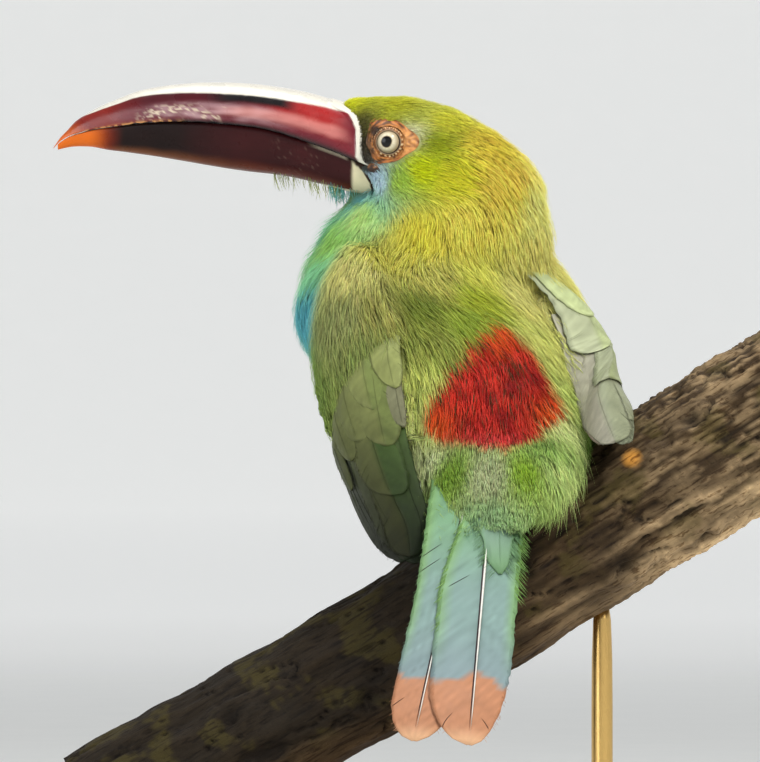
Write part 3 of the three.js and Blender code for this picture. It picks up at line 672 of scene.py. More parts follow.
def ball(at, radii, rows=24, columns=32):
    """Points and triangles of an ellipsoid."""
    polar = np.linspace(0.02, math.pi - 0.02, rows)[:, None]
    turn = around(columns)[None]
    rings = np.stack([np.sin(polar) * np.cos(turn), np.sin(polar) * np.sin(turn), np.cos(polar) + 0 * turn], -1)
    points, (quads, caps) = tube(rings * radii + at)
    return points, np.vstack([quads[:, :3], quads[:, [0, 2, 3]], caps])


def rest_wings(points, normals):
    """The skin's points, lower under the long wing feathers, so that these rest on it."""
    for field in FIELDS:
        t, v, height, aside, out = field.read(points)
        start = cover_start(field.name, v)
        facing = (normals * out).sum(-1)
        low = -2.3 - 0.7 * smooth(t, 0.3, 0.46) - 1.3 * smooth(-facing, -0.4, 0.4)
        high = np.maximum(height - low, 0) * (height < 9)
        high *= 1 - smooth(aside, 1, 5)
        points = points - out * (high * smooth(t, start - 0.06, start + 0.03))[:, None]
    return points


def fit_face(place):
    """Narrows the face where the bill's base sits over it and sinks it under the bare skin round the eyes."""
    ahead = place[:, 0] - bill_base(place[:, 2]) + 1.9 * smooth(place[:, 2], 0, -4)
    under_bill = smooth(ahead, -0.7, 0.9) * (place[:, 2] > -14)
    chin = smooth(place[:, 2], -4, -8) * smooth(place[:, 2], -12.5, -10.5)
    place[:, 1] *= 1 - (0.3 + 0.4 * chin) * under_bill
    place[:, 2] = lerp(place[:, 2], 3 + (place[:, 2] - 3) * 0.82, under_bill)
    across = place[:, [0, 2]] - EYE_AT
    edge = orbit_edge(np.arctan2(across[:, 1], across[:, 0]))
    sunk = smooth(np.linalg.norm(across, axis=1) - edge, -0.4, -1.8) * (np.abs(place[:, 1]) > 6)
    place[:, 1] -= np.sign(place[:, 1]) * EYE_PIT * sunk
    return place


def make_skin():
    points, faces = node_form(*FLESH)
    brow, brow_faces = ball(BROW["at"], BROW["radii"])
    faces = np.vstack([faces, brow_faces + len(points)])
    points = np.vstack([points, from_head(brow)])
    skin = remeshed("skin", points, faces, SKIN["voxel"], SKIN["grow"], SKIN["soften"])
    points, normals = read_points(skin.data), read_normals(skin.data)
    place = to_head(points)
    face = smooth(place[:, 0], -5, 8) * smooth(place[:, 2], -16, -8)
    depth = lerp(SKIN["depth"], SKIN["face_depth"], face) + SKIN["grow"]
    points = rest_wings(points - normals * depth[:, None], normals)
    write_points(skin.data, from_head(fit_face(to_head(points))))
    unwrap(skin)
    paint(skin.data, marking(read_points(skin.data), read_normals(skin.data))[0] * SKIN_SHADE)
    return finished(skin, plumage_look("skin", 1.0), FLESH)


def plumage_look(name, grain):
    look = Look(name, Roughness=0.62, Specular_IOR_Level=0.16, Sheen_Weight=0.03, Sheen_Roughness=0.4)
    place = look.place()
    fine = look.noise(place, 0.5 * grain, 3)
    broad = look.noise(place, 3.0, 4)
    colour = look.attribute("Colour")
    dark = look.mix(1.0, colour, (0.55, 0.6, 0.45), "MULTIPLY")
    colour = look.mix(look.waver(fine, 0.0, 0.22), colour, dark)
    look.set(Base_Color=colour, Roughness=look.waver(broad, 0.52, 0.72))
    look.set(Normal=look.bump(fine, 0.05 * grain, 0.6))
    return look.material


# ---- Coat: tufts of blades over the skin ----
COAT_GAIN = 1.27  # the coat shades itself, so its colours are set this much lighter
PIECE_TRIANGLES = 180000  # most triangles in one piece of the coat
PATCH_SIZE = 0.003  # a tuft's patch of the map
EYE_AT = (10.9, 6.5)  # x and z in the head's frame
EYE_PIT = 2.4  # how far the skin sinks under the bare patch


class Skin:
    """The skin as arrays and a tree, to find places on it."""

    def __init__(self, obj):
        mesh = obj.data
        mesh.calc_loop_triangles()
        self.points, self.normals = read_points(mesh), read_normals(mesh)
        self.corners = read(mesh.loop_triangles, "vertices", np.int32)
        loops = read(mesh.loop_triangles, "loops", np.int32)
        self.uv = read(mesh.uv_layers[BAKE_MAP].data, "uv", width=2)[loops]
        self.tree = BVHTree.FromPolygons(self.points.tolist(), self.corners.tolist())

    def area(self):
        a, b, c = (self.points[self.corners[:, k]] for k in range(3))
        return np.linalg.norm(np.cross(b - a, c - a), axis=1) / 2

    def sample(self, per_mm2):
        """Scattered places: points, normals and UVs. per_mm2 is a number for each triangle."""
        expected = self.area() * per_mm2
        count = np.floor(expected + rng.random(len(expected))).astype(int)
        chosen = np.repeat(np.arange(len(count)), count)
        a, b = rng.random((2, len(chosen)))
        a, b = np.where(a + b > 1, 1 - a, a), np.where(a + b > 1, 1 - b, b)
        shares = np.stack([1 - a - b, a, b], -1)[..., None]
        at = (self.points[self.corners[chosen]] * shares).sum(1)
        normals = unit((self.normals[self.corners[chosen]] * shares).sum(1))
        return at, normals, (self.uv[chosen] * shares).sum(1)

    def nearest(self, points):
        at, normals = np.array(points), np.zeros_like(points)
        for i, p in enumerate(points.tolist()):
            place, _, index, _ = self.tree.find_nearest(p)
            at[i] = place
            corners = self.corners[index]
            away = 1 / (np.linalg.norm(self.points[corners] - at[i], axis=1) + 0.05)
            normals[i] = away @ self.normals[corners]
        return at, unit(normals)


def orbit_edge(turn):
    """Radius of the outline of the bare patch round the eye: drawn out behind it, and to the bill and the gape."""
    along = np.cos(turn)
    turn = (turn + math.pi) % (2 * math.pi) - math.pi
    toward_bill = 0.7 * ridge(turn, 0.6) + 1.2 * ridge(turn + 1.0, 0.3)
    toward_bill = toward_bill + 1.5 * ridge(turn - 0.88, 0.33) + 0.4 * smooth(np.sin(turn), 0, 0.8)
    return 5.8 + 2.9 * np.clip(-along, 0, 1) ** 10 + toward_bill


def bare(points, normals):
    """Where no feathers grow: round the eyes, under the bill's base and under the long wing feathers."""
    place = to_head(points)
    x, y, z = place[:, 0], np.abs(place[:, 1]), place[:, 2]
    far = np.hypot(x - EYE_AT[0], z - EYE_AT[1])
    eye = far < orbit_edge(np.arctan2(z - EYE_AT[1], x - EYE_AT[0])) - 0.25
    hidden = (eye & (y > 6)) | ((x > bill_base(z) + 0.3 - 1.2 * smooth(z, 0, -4)) & (z > -10.3))
    for field in FIELDS:
        hidden |= field.covered(points, normals)
    return hidden


def over_tail(points):
    """1 at the rump's end over the tail, where the coat is short."""
    root, along, across, out, _ = tail_frame()
    away = points - root
    return smooth(away @ along, -18, -3) * smooth(away @ out, -6, -2) * smooth(np.abs(away @ across), 22, 15)


def on_face(points):
    """1 on the face, where the tufts are small and stand close, and 0 behind it."""
    place = to_head(points)
    return smooth(place[:, 0], -12, 4) * smooth(place[:, 2], -20, -10)


def walk(skin, at, normals, lie, lengths, steps, bend):
    """Lines that follow the skin: points, the way up and the way ahead at each step."""
    points, ups, ways = [at], [normals], [lie]
    stride = (lengths / (steps - 1))[:, None]
    p, way = at, lie
    # Over the root of the tail the feathers run straight on instead of round the rump's end.
    cling = 1 - 0.85 * smooth(at[:, 2], 150, 138) * smooth(at[:, 1], -12, -22)
    cling = cling[:, None]
    for _ in range(1, steps):
        aim = p + way * stride
        on, up = skin.nearest(aim)
        p = lerp(aim, on, cling)
        up = unit(lerp(ups[-1], up, cling))
        ahead = unit(lerp(way, lie_at(p, up), 0.6 * cling) + np.cross(up, way) * bend[:, None] / (steps - 1))
        way = unit(ahead - up * (ahead * up).sum(-1, keepdims=True))
        points.append(p)
        ups.append(up)
        ways.append(way)
    return np.stack(points, 1), np.stack(ups, 1), np.stack(ways, 1)


# Two layers: soft tufts that close over the skin, and long single strands over them. root and tip scale the blades'
# colours at their ends: painted shade at the roots and a painted highlight at the tips.
LAYERS = {
    "under": dict(share=0.58, face=1.9, steps=3, blades=5, width=0.31, thin=0.55, spread=1.7, height=0.95, long=0.95,
                  root=0.78, tip=1.08, tone=0.07, own=0.09, bend=0.25, depth=0.3),
    "over": dict(share=1.26, face=1.7, steps=4, blades=1, width=0.17, thin=0.66, spread=0, height=1.45, long=1.2,
                 root=0.88, tip=1.42, tone=0.13, own=0.0, bend=0.5, depth=0.35),
}


TAIL_TRIM = 0.72  # share of the coat's length that is missing over the tail


def tuft_roots(skin, spec):
    """Where the tufts of a layer stand: places, normals and places on the map."""
    middle = skin.points[skin.corners].mean(1)
    density = spec["share"] * (1 + spec["face"] * on_face(middle))
    density *= 1 - 0.35 * smooth(skin.normals[skin.corners].mean(1)[:, 1], 0.1, 0.6)
    at, normals, uv = skin.sample(density)
    keep = ~bare(at, normals)
    return at[keep], normals[keep], uv[keep]


def tuft_lines(skin, spec, at, normals):
    """The tufts' middle lines along the skin: points, the ways up and ahead, lengths, lifts, and which ones stay."""
    count = len(at)
    weights = coat_weights(at)
    length = weights @ COAT_LENGTHS * spec["long"] * rng.uniform(0.75, 1.2, count)
    length *= 1 - TAIL_TRIM * over_tail(at)
    lie = lie_at(at, normals, weights)
    sway = 0.3 * cloud(at, 7, 71) + 0.15 * cloud(at, 2.5, 77) + rng.normal(0, 0.1, count)
    lie = unit(lie + np.cross(normals, lie) * sway[:, None])
    bend = spec["bend"] * (1.5 * cloud(at, 4, 81) + rng.normal(0, 0.5, count))
    line, ups, ways = walk(skin, at, normals, lie, length, spec["steps"], bend)
    keep = ~(FIELDS[0].crossed(line) | FIELDS[1].crossed(line))
    return line, ups, ways, length, weights @ COAT_LIFTS, keep


def arched(spec, line, ups, length, lift):
    """The lines raised off the skin in an arch, with their roots just under it."""
    count, steps = line.shape[:2]
    height = spec["height"] * np.clip(length / 8, 0.4, 1.25) * rng.uniform(0.7, 1.25, count)
    share = np.linspace(0, 1, steps)
    arch = (np.sin(share * 2.2) / math.sin(1.5))[None] * height[:, None]
    rise = arch + (share**2)[None] * (height * lift * rng.uniform(0.2, 1.3, count) - 0.35 * height)[:, None]
    rise[:, 0] = -0.35
    return line + ups * rise[..., None]


def blade_paths(spec, line, ups, across, aside, small):
    """The paths and widths of each tuft's blades, which fan out from its line."""
    count, steps = line.shape[:2]
    n = spec["blades"]
    spread = (spec["spread"] * small[:, None] * np.linspace(0.5, 1.25, steps))[:, None] * aside[None, :, None]
    spread = spread + rng.normal(0, 0.14, (count, n, steps)) * small[:, None, None] * (n > 1)
    paths = line[:, None] + across[:, None] * spread[..., None]
    if n > 1:
        reach = rng.uniform(0.7, 1.15, (count, n, 1))
        paths[:, :, -1] = lerp(paths[:, :, -2], paths[:, :, -1], reach)
        paths += ups[:, None] * rng.normal(0, 0.1, (count, n, 1, 1)) * small[:, None, None, None]
    taper = np.append(np.linspace(0.85, 0.8, steps - 1), 0)
    taper[1] = 1
    return paths, taper * spec["width"] * small[:, None, None] * rng.uniform(0.7, 1.25, (count, n, 1))


def blade_shades(spec, colour, red):
    """The blades' colours from root to tip, with painted shade at the roots and a painted highlight at the tips. In the
    red patch some blades are dark, painted shade for the gaps between strands, and the painted highlight at the tips is
    rosy.
    """
    count, n = len(colour), spec["blades"]
    tones = np.exp(rng.normal(0, spec["tone"], (count, 1, 1)) + rng.normal(0, spec["own"], (count, n, 1)))
    hues = np.exp(rng.normal(0, 0.04, (count, n, 3)))
    # Painted shade: some blades in the red patch are dark, standing for the gaps between strands.
    gap = (rng.random((count, n)) < 0.14 * red[:, None])[..., None]
    base = np.where(gap, PATCH_REDS["gap"], colour[:, None] * hues * tones * COAT_GAIN)
    # A rosy painted highlight on the tips in the red patch.
    rosy_highlight = np.array((1.0, 1.0, 0.9)) + np.multiply.outer(red, np.array((0.1, 1.4, 1.6)))
    # Painted shade at the roots and a painted highlight at the tips.
    ramp = np.interp(np.linspace(0, 1, spec["steps"]), [0, 0.45, 1], [spec["root"], 1, spec["tip"]])
    shades = base[:, :, None] * ramp[:, None]
    tip_highlight = np.clip(ramp - 1, 0, 1)[None, None, :, None]
    return np.clip(shades * lerp(1.0, rosy_highlight[:, None, None], tip_highlight), 0, 0.9)


def make_layer(skin, name):
    """A layer of the coat, cut into pieces from the head down to the tail."""
    spec = LAYERS[name]
    n, steps = spec["blades"], spec["steps"]
    at, normals, uv = tuft_roots(skin, spec)
    *tufts, keep = tuft_lines(skin, spec, at, normals)
    line, ups, ways, length, lift, at, uv = (values[keep] for values in (*tufts, at, uv))
    line = arched(spec, line, ups, length, lift)
    shown = np.clip(steps - 2, 1, steps - 1)
    colour, red = marking(line[:, shown], ups[:, shown])
    across = unit(np.cross(ways, ups))
    aside = (np.arange(n) - (n - 1) / 2) / n
    paths, widths = blade_paths(spec, line, ups, across, aside, lerp(1, spec["thin"], on_face(at)))
    shades = blade_shades(spec, colour, red)
    order = np.argsort(-(at @ unit(np.array((0, 0.6, 0.8)))))
    per = PIECE_TRIANGLES // (n * (6 * steps - 8))
    for number, start in enumerate(range(0, len(at), per)):
        chosen = order[start : start + per]
        pick = len(chosen) * n
        points, faces = blades(
            paths[chosen].reshape(pick, steps, 3),
            np.repeat(across[chosen], n, 0),
            np.repeat(ups[chosen], n, 0),
            widths[chosen].reshape(pick, steps),
            spec["depth"],
        )
        tint = blade_tint(shades[chosen].reshape(pick, steps, 3)).reshape(-1, 3)
        patch = tuft_patches(np.repeat(uv[chosen], n, 0), np.tile(aside, len(chosen)), n, steps).reshape(-1, 2)
        piece = mesh_object(f"coat_{name}_{number + 1}", points.reshape(-1, 3), faces, tint, patch)
        finished(piece, COAT_LOOK)


def tuft_patches(root, aside, n, steps):
    """The points of each blade in its tuft's small patch of the map."""
    step = 1 / n
    across = np.append(np.tile([-0.5, 0.5, 0], steps - 1), 0)[None] * step + aside[:, None]
    along = np.append(np.repeat(np.linspace(-0.5, 0.4, steps - 1), 3), 0.5)[None] + np.zeros((len(aside), 1))
    return root[:, None] + np.stack([across, along], -1) * PATCH_SIZE


# ---- Bill, in the head's frame ----
CULMEN = [
    (14, 12.6), (20, 14.9), (24, 16.3), (36, 19.8), (50, 22), (64, 22.5), (75, 21.7), (83, 20.2), (90, 17.6),
    (95, 15.4), (101, 11.8), (103.8, 8.9), (105.8, 6.8), (107.8, 3.9),
]
MOUTH = [
    (14, -1.6), (21, 1.0), (26.5, 3.3), (39.3, 7.8), (48, 10.1), (60, 11.4), (71, 11.8), (82, 11.3), (91.7, 10),
    (96.2, 9.3), (99.7, 8.4), (103.1, 7.3), (105.9, 5.6), (107.7, 3.7),
]
GONYS = [
    (14, -10.4), (17, -9.8), (22.5, -8.7), (31, -6.4), (41, -4.1), (54, -2.5), (64, -0.9), (78, 1.5), (88, 2.9),
    (92, 3.4), (96.3, 4.2), (100, 4.4), (103, 4.2), (107, 3.3),
]
BILL_WIDTH = [(14, 12.6), (20, 11.9), (24, 11.5), (40, 11.2), (62, 9.8), (84, 6.8), (98, 3.8), (104, 2), (107.5, 0.6)]
BILL = dict(gap=0.25, side=0.72, rise=0.78, floor=8)
# For the upper half and the lower: where it ends, its share of the bill's width, the rows and columns of its mesh, its
# roughness, gloss and coat, and its node, piece and slot.
BILL_HALVES = {
    True: dict(end=107.7, wide=1, grid=(230, 84), look=(0.26, 0.34, 0.14), names="bill_upper bill_top bill_red"),
    False: dict(end=106.4, wide=0.88, grid=(200, 64), look=(0.3, 0.13, 0.03), names="bill_lower bill_under bill_dark"),
}
UPPER_BASE = [  # z and x of the line where the upper half leaves the face
    (-3, 15.6), (-0.5, 16.4), (0.4, 17.4), (1.75, 18.8), (9.7, 19.2), (12, 20.5), (14, 22.3), (15.4, 24.8), (17, 27),
]
LOWER_BASE = [(-13, 19), (-11, 17), (-9.6, 16.2), (-8, 16.3), (-6.2, 17), (-4, 18.2), (-1.65, 19.6), (2, 20)]
# Where the painted white reflection along the ridge begins: x and the share of the height.
CULMEN_REFLECTION = [
    (14, 0.87), (28, 0.855), (37, 0.79), (46, 0.765), (57, 0.755), (71, 0.785), (83, 0.83), (90, 0.83), (96, 0.875),
    (101, 1.05), (108, 1.2),
]
culmen, mouth, gonys = curve_through(CULMEN), curve_through(MOUTH), curve_through(GONYS)
bill_width, reflection_edge = curve_through(BILL_WIDTH), curve_through(CULMEN_REFLECTION)


def bill_base(z, upper=None):
    """x of the line where the bill leaves the face. Without upper it is the line of both halves together."""
    top, low = (np.interp(z, *np.array(line, float).T) for line in (UPPER_BASE, LOWER_BASE))
    if upper is None:
        return np.where(z > -1, top, low)
    return top if upper else low


def bill_rows(upper):
    """Points of one half, rows along it and columns round it, with x, the share of its height and its base's x."""
    half = BILL_HALVES[upper]
    rows, columns = half["grid"]
    share = np.linspace(0, 1, rows)
    share = np.sin(share**1.35 * math.pi / 2)[:, None]
    turn = np.linspace(0, math.pi, columns)[None]
    rise = np.abs(np.sin(turn)) ** BILL["rise"]
    z = np.full((rows, columns), 4.0)
    for _ in range(12):
        start = bill_base(z, upper) - 1.4
        x = lerp(start, half["end"], share)
        low = mouth(x) + BILL["gap"] / 2 if upper else mouth(x) - BILL["gap"] / 2
        high = culmen(x) if upper else gonys(x)
        z = lerp(z, lerp(low, high, rise), 0.7)
    z = lerp(low, high, rise)
    y = bill_width(x) * half["wide"] * np.sign(np.cos(turn)) * np.abs(np.cos(turn)) ** BILL["side"]
    return np.stack([x, y, z], -1), x, rise + 0 * x, bill_base(z, upper)


def closed_bill(points):
    """Adds a floor across the open side and closes both ends."""
    left, right = points[:, :1], points[:, -1:]
    steps = np.linspace(0, 1, BILL["floor"] + 2)[1:-1][None, :, None]
    across = right + (left - right) * steps
    return tube(np.concatenate([points, across], 1))


def between(x, low, low_end, high_end, high):
    """1 between low_end and high_end and 0 outside low and high."""
    return smooth(x, low, low_end) * (1 - smooth(x, high_end, high))


def upper_colours(points, x, r, base):
    """The upper half: dark red horn, a worn middle that is partly painted sheen, a painted highlight along the middle,
    black blotches, an orange tip, a black cutting edge that is partly painted shade, a painted white reflection along
    the ridge and a white base.
    """
    lumps, fine = cloud(points, 7, 2), cloud(points, 1.6, 7)
    streaks = cloud(points * (0.22, 1, 1), 1.1, 23)
    flakes = cloud(points * (0.8, 1, 1.6), 1.0, 31) + 0.5 * cloud(points * (0.8, 1, 1.6), 0.5, 35)
    colour = lerp(linear(96, 20, 34), linear(70, 12, 22), smooth(r, 0.35, 0.7)[..., None])
    red = between(x + 2 * lumps, 20, 27, 36, 54) * smooth(r + 0.05 * lumps, 0.1, 0.5)
    colour = tinted(colour, red, 156, 26, 26)
    near = between(x, 16, 19, 22, 29)
    colour = tinted(colour, 0.7 * near, 112, 20, 34)
    # Worn horn, paler: partly wear and partly painted sheen.
    worn = between(x + 4 * lumps, 34, 52, 70, 84) * between(r + 0.06 * streaks, 0.08, 0.2, 0.44, 0.62)
    colour = tinted(colour, 0.7 * worn * smooth(streaks, -0.8, 0.5), 180, 146, 150)
    # A painted highlight along the middle.
    height = r + 0.03 * streaks + 0.003 * (x - 36)
    gloss = between(x + 2 * lumps, 21, 29, 50, 64) * between(height, 0.2, 0.34, 0.44, 0.58)
    colour = tinted(colour, 0.5 * gloss, 222, 150, 142)
    tip_red = smooth(x + 2 * lumps, 80, 94)
    colour = tinted(colour, tip_red, 122, 30, 22)
    colour = tinted(colour, smooth(x + 1.2 * lumps - 4 * r, 95, 104), 210, 98, 28)
    black = between(x, 36, 42, 56, 66) * smooth(r + 0.04 * lumps + 0.002 * (x - 48), 0.5, 0.64)
    colour = tinted(colour, black, 14, 8, 10)
    # The dark band along the cutting edge is partly black horn and partly painted shade of the gap between the halves.
    edge = (1 - smooth(r, 0.05, 0.1)) * (1 - smooth(x, 68, 80))
    colour = tinted(colour, edge, 14, 8, 9)
    line = (1 - smooth(r, 0.03, 0.09)) * between(x, 68, 75, 96, 103) * smooth(fine + 0.7 * flakes, -0.3, 0.1)
    colour = tinted(colour, line, 226, 164, 96)
    speck = smooth(flakes, 0.1, 0.28) * smooth(cloud(points * (0.5, 1, 1), 3.2, 41), -0.25, 0.1)
    speck = speck * between(x + 3 * lumps, 52, 60, 76, 86) * between(r, 0.05, 0.14, 0.34, 0.56)
    colour = tinted(colour, 0.85 * speck, 214, 196, 170)
    colour = colour * np.exp(0.1 * streaks + 0.05 * fine)[..., None]
    # A painted white reflection along the ridge.
    painted_reflection = smooth(r + 0.006 * fine, reflection_edge(x) - 0.016, reflection_edge(x) + 0.016)
    white = linear(214, 209, 196) * np.exp(0.05 * fine + 0.05 * streaks)[..., None]
    colour = lerp(colour, white, painted_reflection[..., None])
    wide = np.interp(points[..., 2], (1, 3, 6, 11, 14), (2.1, 1.6, 1.45, 1.2, 0.5))
    band = 1 - smooth(x - base + 0.12 * fine - wide, -0.15, 0.15)
    return lerp(colour, linear(222, 217, 202), band[..., None])


def lower_colours(points, x, g, base):
    """The lower half: blackish horn with a brown keel, an orange tip, a cream patch at its base and a painted highlight
    along its upper edge by the base.
    """
    lumps, fine = cloud(points, 6, 12), cloud(points, 1.3, 17)
    streaks = cloud(points * (0.2, 1, 1), 1.0, 29)
    colour = lerp(linear(52, 15, 17), linear(24, 11, 10), smooth(x + 5 * lumps, 52, 76)[..., None])
    colour = colour * np.exp(0.2 * lumps + 0.12 * streaks)[..., None]
    keel = smooth(g + 0.05 * lumps, 0.66, 0.95)
    brown = lerp(linear(92, 36, 22), linear(112, 64, 34), smooth(x, 40, 80)[..., None])
    colour = lerp(colour, brown, keel[..., None])
    # A painted highlight: a pale line along the upper edge near the base.
    rim = (1 - smooth(g, 0.03, 0.08)) * between(x, 20, 22, 30, 35)
    colour = tinted(colour, rim, 196, 184, 160)
    scratch = smooth(cloud(points * (0.5, 1, 4), 1.0, 51), 0.4, 0.56) * between(x, 28, 32, 41, 46)
    colour = tinted(colour, 0.22 * scratch, 140, 112, 100)
    tip = smooth(x + lumps, 87, 94)
    orange = lerp(linear(124, 40, 18), linear(214, 104, 28), smooth(x + lumps, 90, 98)[..., None])
    colour = lerp(colour, orange, tip[..., None])
    # Dark skin of the gape over the slanting top of the cream patch.
    slant = np.interp(x, (15, 16.2, 16.7, 18.6, 21.6, 24), (-11, -8.6, -5.6, -2.2, 0.5, 2.1))
    gape = smooth(points[..., 2] - slant + 0.25 * fine, -0.2, 0.25) * (1 - smooth(x, 22.5, 24))
    cream = 1 - smooth(x - 10 * smooth(g, 0.88, 1.0) + 0.5 * lumps, 21.6, 22.3)
    colour = lerp(colour, linear(222, 212, 176) * np.exp(0.06 * fine)[..., None], cream[..., None])
    return lerp(colour, linear(50, 36, 28) * np.exp(0.4 * fine)[..., None], gape[..., None])


def serrate(points, x, r, seed):
    """Small saw teeth along the tomium, of uneven size."""
    source = np.random.default_rng(seed)
    knots = np.cumsum(source.uniform(1.3, 2.6, 90)) + 10
    depth = source.uniform(0, 0.42, 90) * (np.arange(90) % 2)
    teeth = np.interp(x, knots, depth) * between(x, 34, 42, 98, 103) * (1 - smooth(r, 0.0, 0.12))
    points[..., 2] += teeth
    return points


def horn_look(name, rough, gloss=0.34, coat=0.14):
    look = Look(name, Specular_IOR_Level=gloss, Coat_Weight=coat, Coat_Roughness=0.16)
    place = look.place((0.35, 1, 1))
    grain = look.noise(place, 0.8, 4)
    pits = look.noise(look.place(), 0.28, 2)
    broad = look.noise(look.place(), 6, 4)
    look.set(Base_Color=look.attribute("Colour"), Roughness=look.waver(broad, rough - 0.06, rough + 0.12))
    look.set(Normal=look.bump(pits, 0.02, 0.35, look.bump(grain, 0.09, 0.5)))
    return look.material


def strip_uv(rows, columns):
    """A map for a form made of rows of points."""
    u, v = np.meshgrid(*(np.linspace(0.02, 0.98, n) for n in (rows, columns)), indexing="ij")
    return np.stack([u, v], -1).reshape(-1, 2)


def make_bill():
    for upper in (True, False):
        half = BILL_HALVES[upper]
        node, name, slot = half["names"].split()
        look = horn_look(node, *half["look"])
        points, x, r, base = bill_rows(upper)
        shade = (upper_colours if upper else lower_colours)(points, x, r, base)
        if upper:
            points = serrate(points, x, r, 5)
            # The white band at the base stands a little proud of the horn.
            proud = 0.3 * (1 - smooth(x - base, 1.2, 1.8))
            points[..., 1] += np.sign(points[..., 1]) * proud
            points[..., 2] += proud * r
        # Fine growth lines along the horn.
        waves = 0.05 * cloud(points * (0.25, 1, 1), 1.6, 3)
        points[..., 1] *= 1 + waves / 10
        form, faces = closed_bill(points)
        # The floor between the two halves is painted at half the brightness: painted shade of the gap.
        floor = np.repeat(shade[:, :1] * 0.5, BILL["floor"], 1)
        shade = np.concatenate([shade, floor], 1).reshape(-1, 3)
        rows, columns = half["grid"]
        piece = mesh_object(name, from_head(form), faces, shade, strip_uv(rows, columns + BILL["floor"]))
        finished(piece, look, (node,))


# ---- Eyes and the bare skin round them ----
EYE = dict(y=12.2, radius=4.8, pupil=17, iris=41, forward=0.7, up=0.3, turns=72)
ORBIT = dict(lid=3.3, crest=3.66, beads=22, rows=48, turns=176, depth=1.6)


def make_eye(side):
    polar = np.radians(np.concatenate([np.linspace(0.4, 50, 56), np.linspace(52, 179.6, 16)]))[:, None]
    turn = around(EYE["turns"])[None]
    degrees = np.degrees(polar) + 0 * turn
    bulge = 0.3 * np.clip(1 - (degrees / 43) ** 2, 0, 1)
    radius = EYE["radius"] + bulge
    x = radius * np.sin(polar) * np.cos(turn)
    z = radius * np.sin(polar) * np.sin(turn)
    y = radius * np.cos(polar) + 0 * turn
    rings = np.stack([x + EYE_AT[0], side * (y + EYE["y"]), z + EYE_AT[1]], -1)
    off = (EYE["forward"] * np.cos(turn) + EYE["up"] * np.sin(turn)) / EYE["radius"] * 57.3
    seen = degrees - off * np.clip(1 - degrees / 60, 0, 1)
    streak = cloud(np.stack([np.cos(turn) * 9 + 0 * polar, np.sin(turn) * 9 + 0 * polar, degrees * 0.03], -1), 1, 4)
    iris = lerp(linear(206, 196, 170), linear(158, 140, 112), smooth(seen + 4 * streak, 24, 39)[..., None])
    # A painted highlight: the iris is lighter over its top.
    iris = iris * (1 + 0.25 * np.sin(turn) * smooth(degrees, 15, 35))[..., None]
    iris = iris * np.exp(0.28 * streak)[..., None]
    iris = lerp(linear(112, 92, 70), iris, smooth(seen, EYE["pupil"] + 0.3, EYE["pupil"] + 4)[..., None])
    colour = lerp(iris, linear(40, 28, 22), smooth(seen, EYE["iris"] - 1.5, EYE["iris"] + 1)[..., None])
    colour = lerp(linear(5, 4, 5), colour, smooth(seen, EYE["pupil"] - 0.7, EYE["pupil"] + 0.7)[..., None])
    points, faces = tube(rings)
    uv = np.stack([0.5 + x / 12, 0.5 + z / 12], -1).reshape(-1, 2)
    name = SIDES[side]
    piece = mesh_object(f"eyeball_{name}", from_head(points), faces, colour.reshape(-1, 3), uv)
    look = Look(f"eye_{name}", Roughness=0.3, Specular_IOR_Level=0.08)
    look.set(Coat_Weight=0.8, Coat_Roughness=0.03, Coat_IOR=1.36)
    look.set(Base_Color=look.attribute("Colour"), Normal=look.bump(look.noise(look.place(), 0.3, 3), 0.01, 0.15))
    finished(piece, look.material, (f"eye_{name}",))


def skin_depth(skin, x, z, side):
    """How far out the skin is at x and z of the head's frame."""
    inward = Vector(HEAD_TURN @ (0, -side, 0))
    depth = np.zeros(x.shape)
    for i in np.ndindex(x.shape):
        start = from_head((x[i], side * 40, z[i]))
        hit = skin.tree.ray_cast(Vector(start), inward)[0]
        depth[i] = abs(to_head(np.array(hit))[1]) if hit else 10
    return depth


def around_eye(rho, turn):
    """x and z at a distance from the middle of the eye."""
    return EYE_AT[0] + rho * np.cos(turn), EYE_AT[1] + rho * np.sin(turn)


def rim_depth(skin, turn, edge, side):
    """How far out the skin lies round the bare patch, evened out."""
    depth = np.max([skin_depth(skin, *around_eye(edge + d, turn), side) for d in (0, 0.5, 1)], 0)
    return np.mean([np.roll(depth, k, 1) for k in range(-6, 7)], 0)


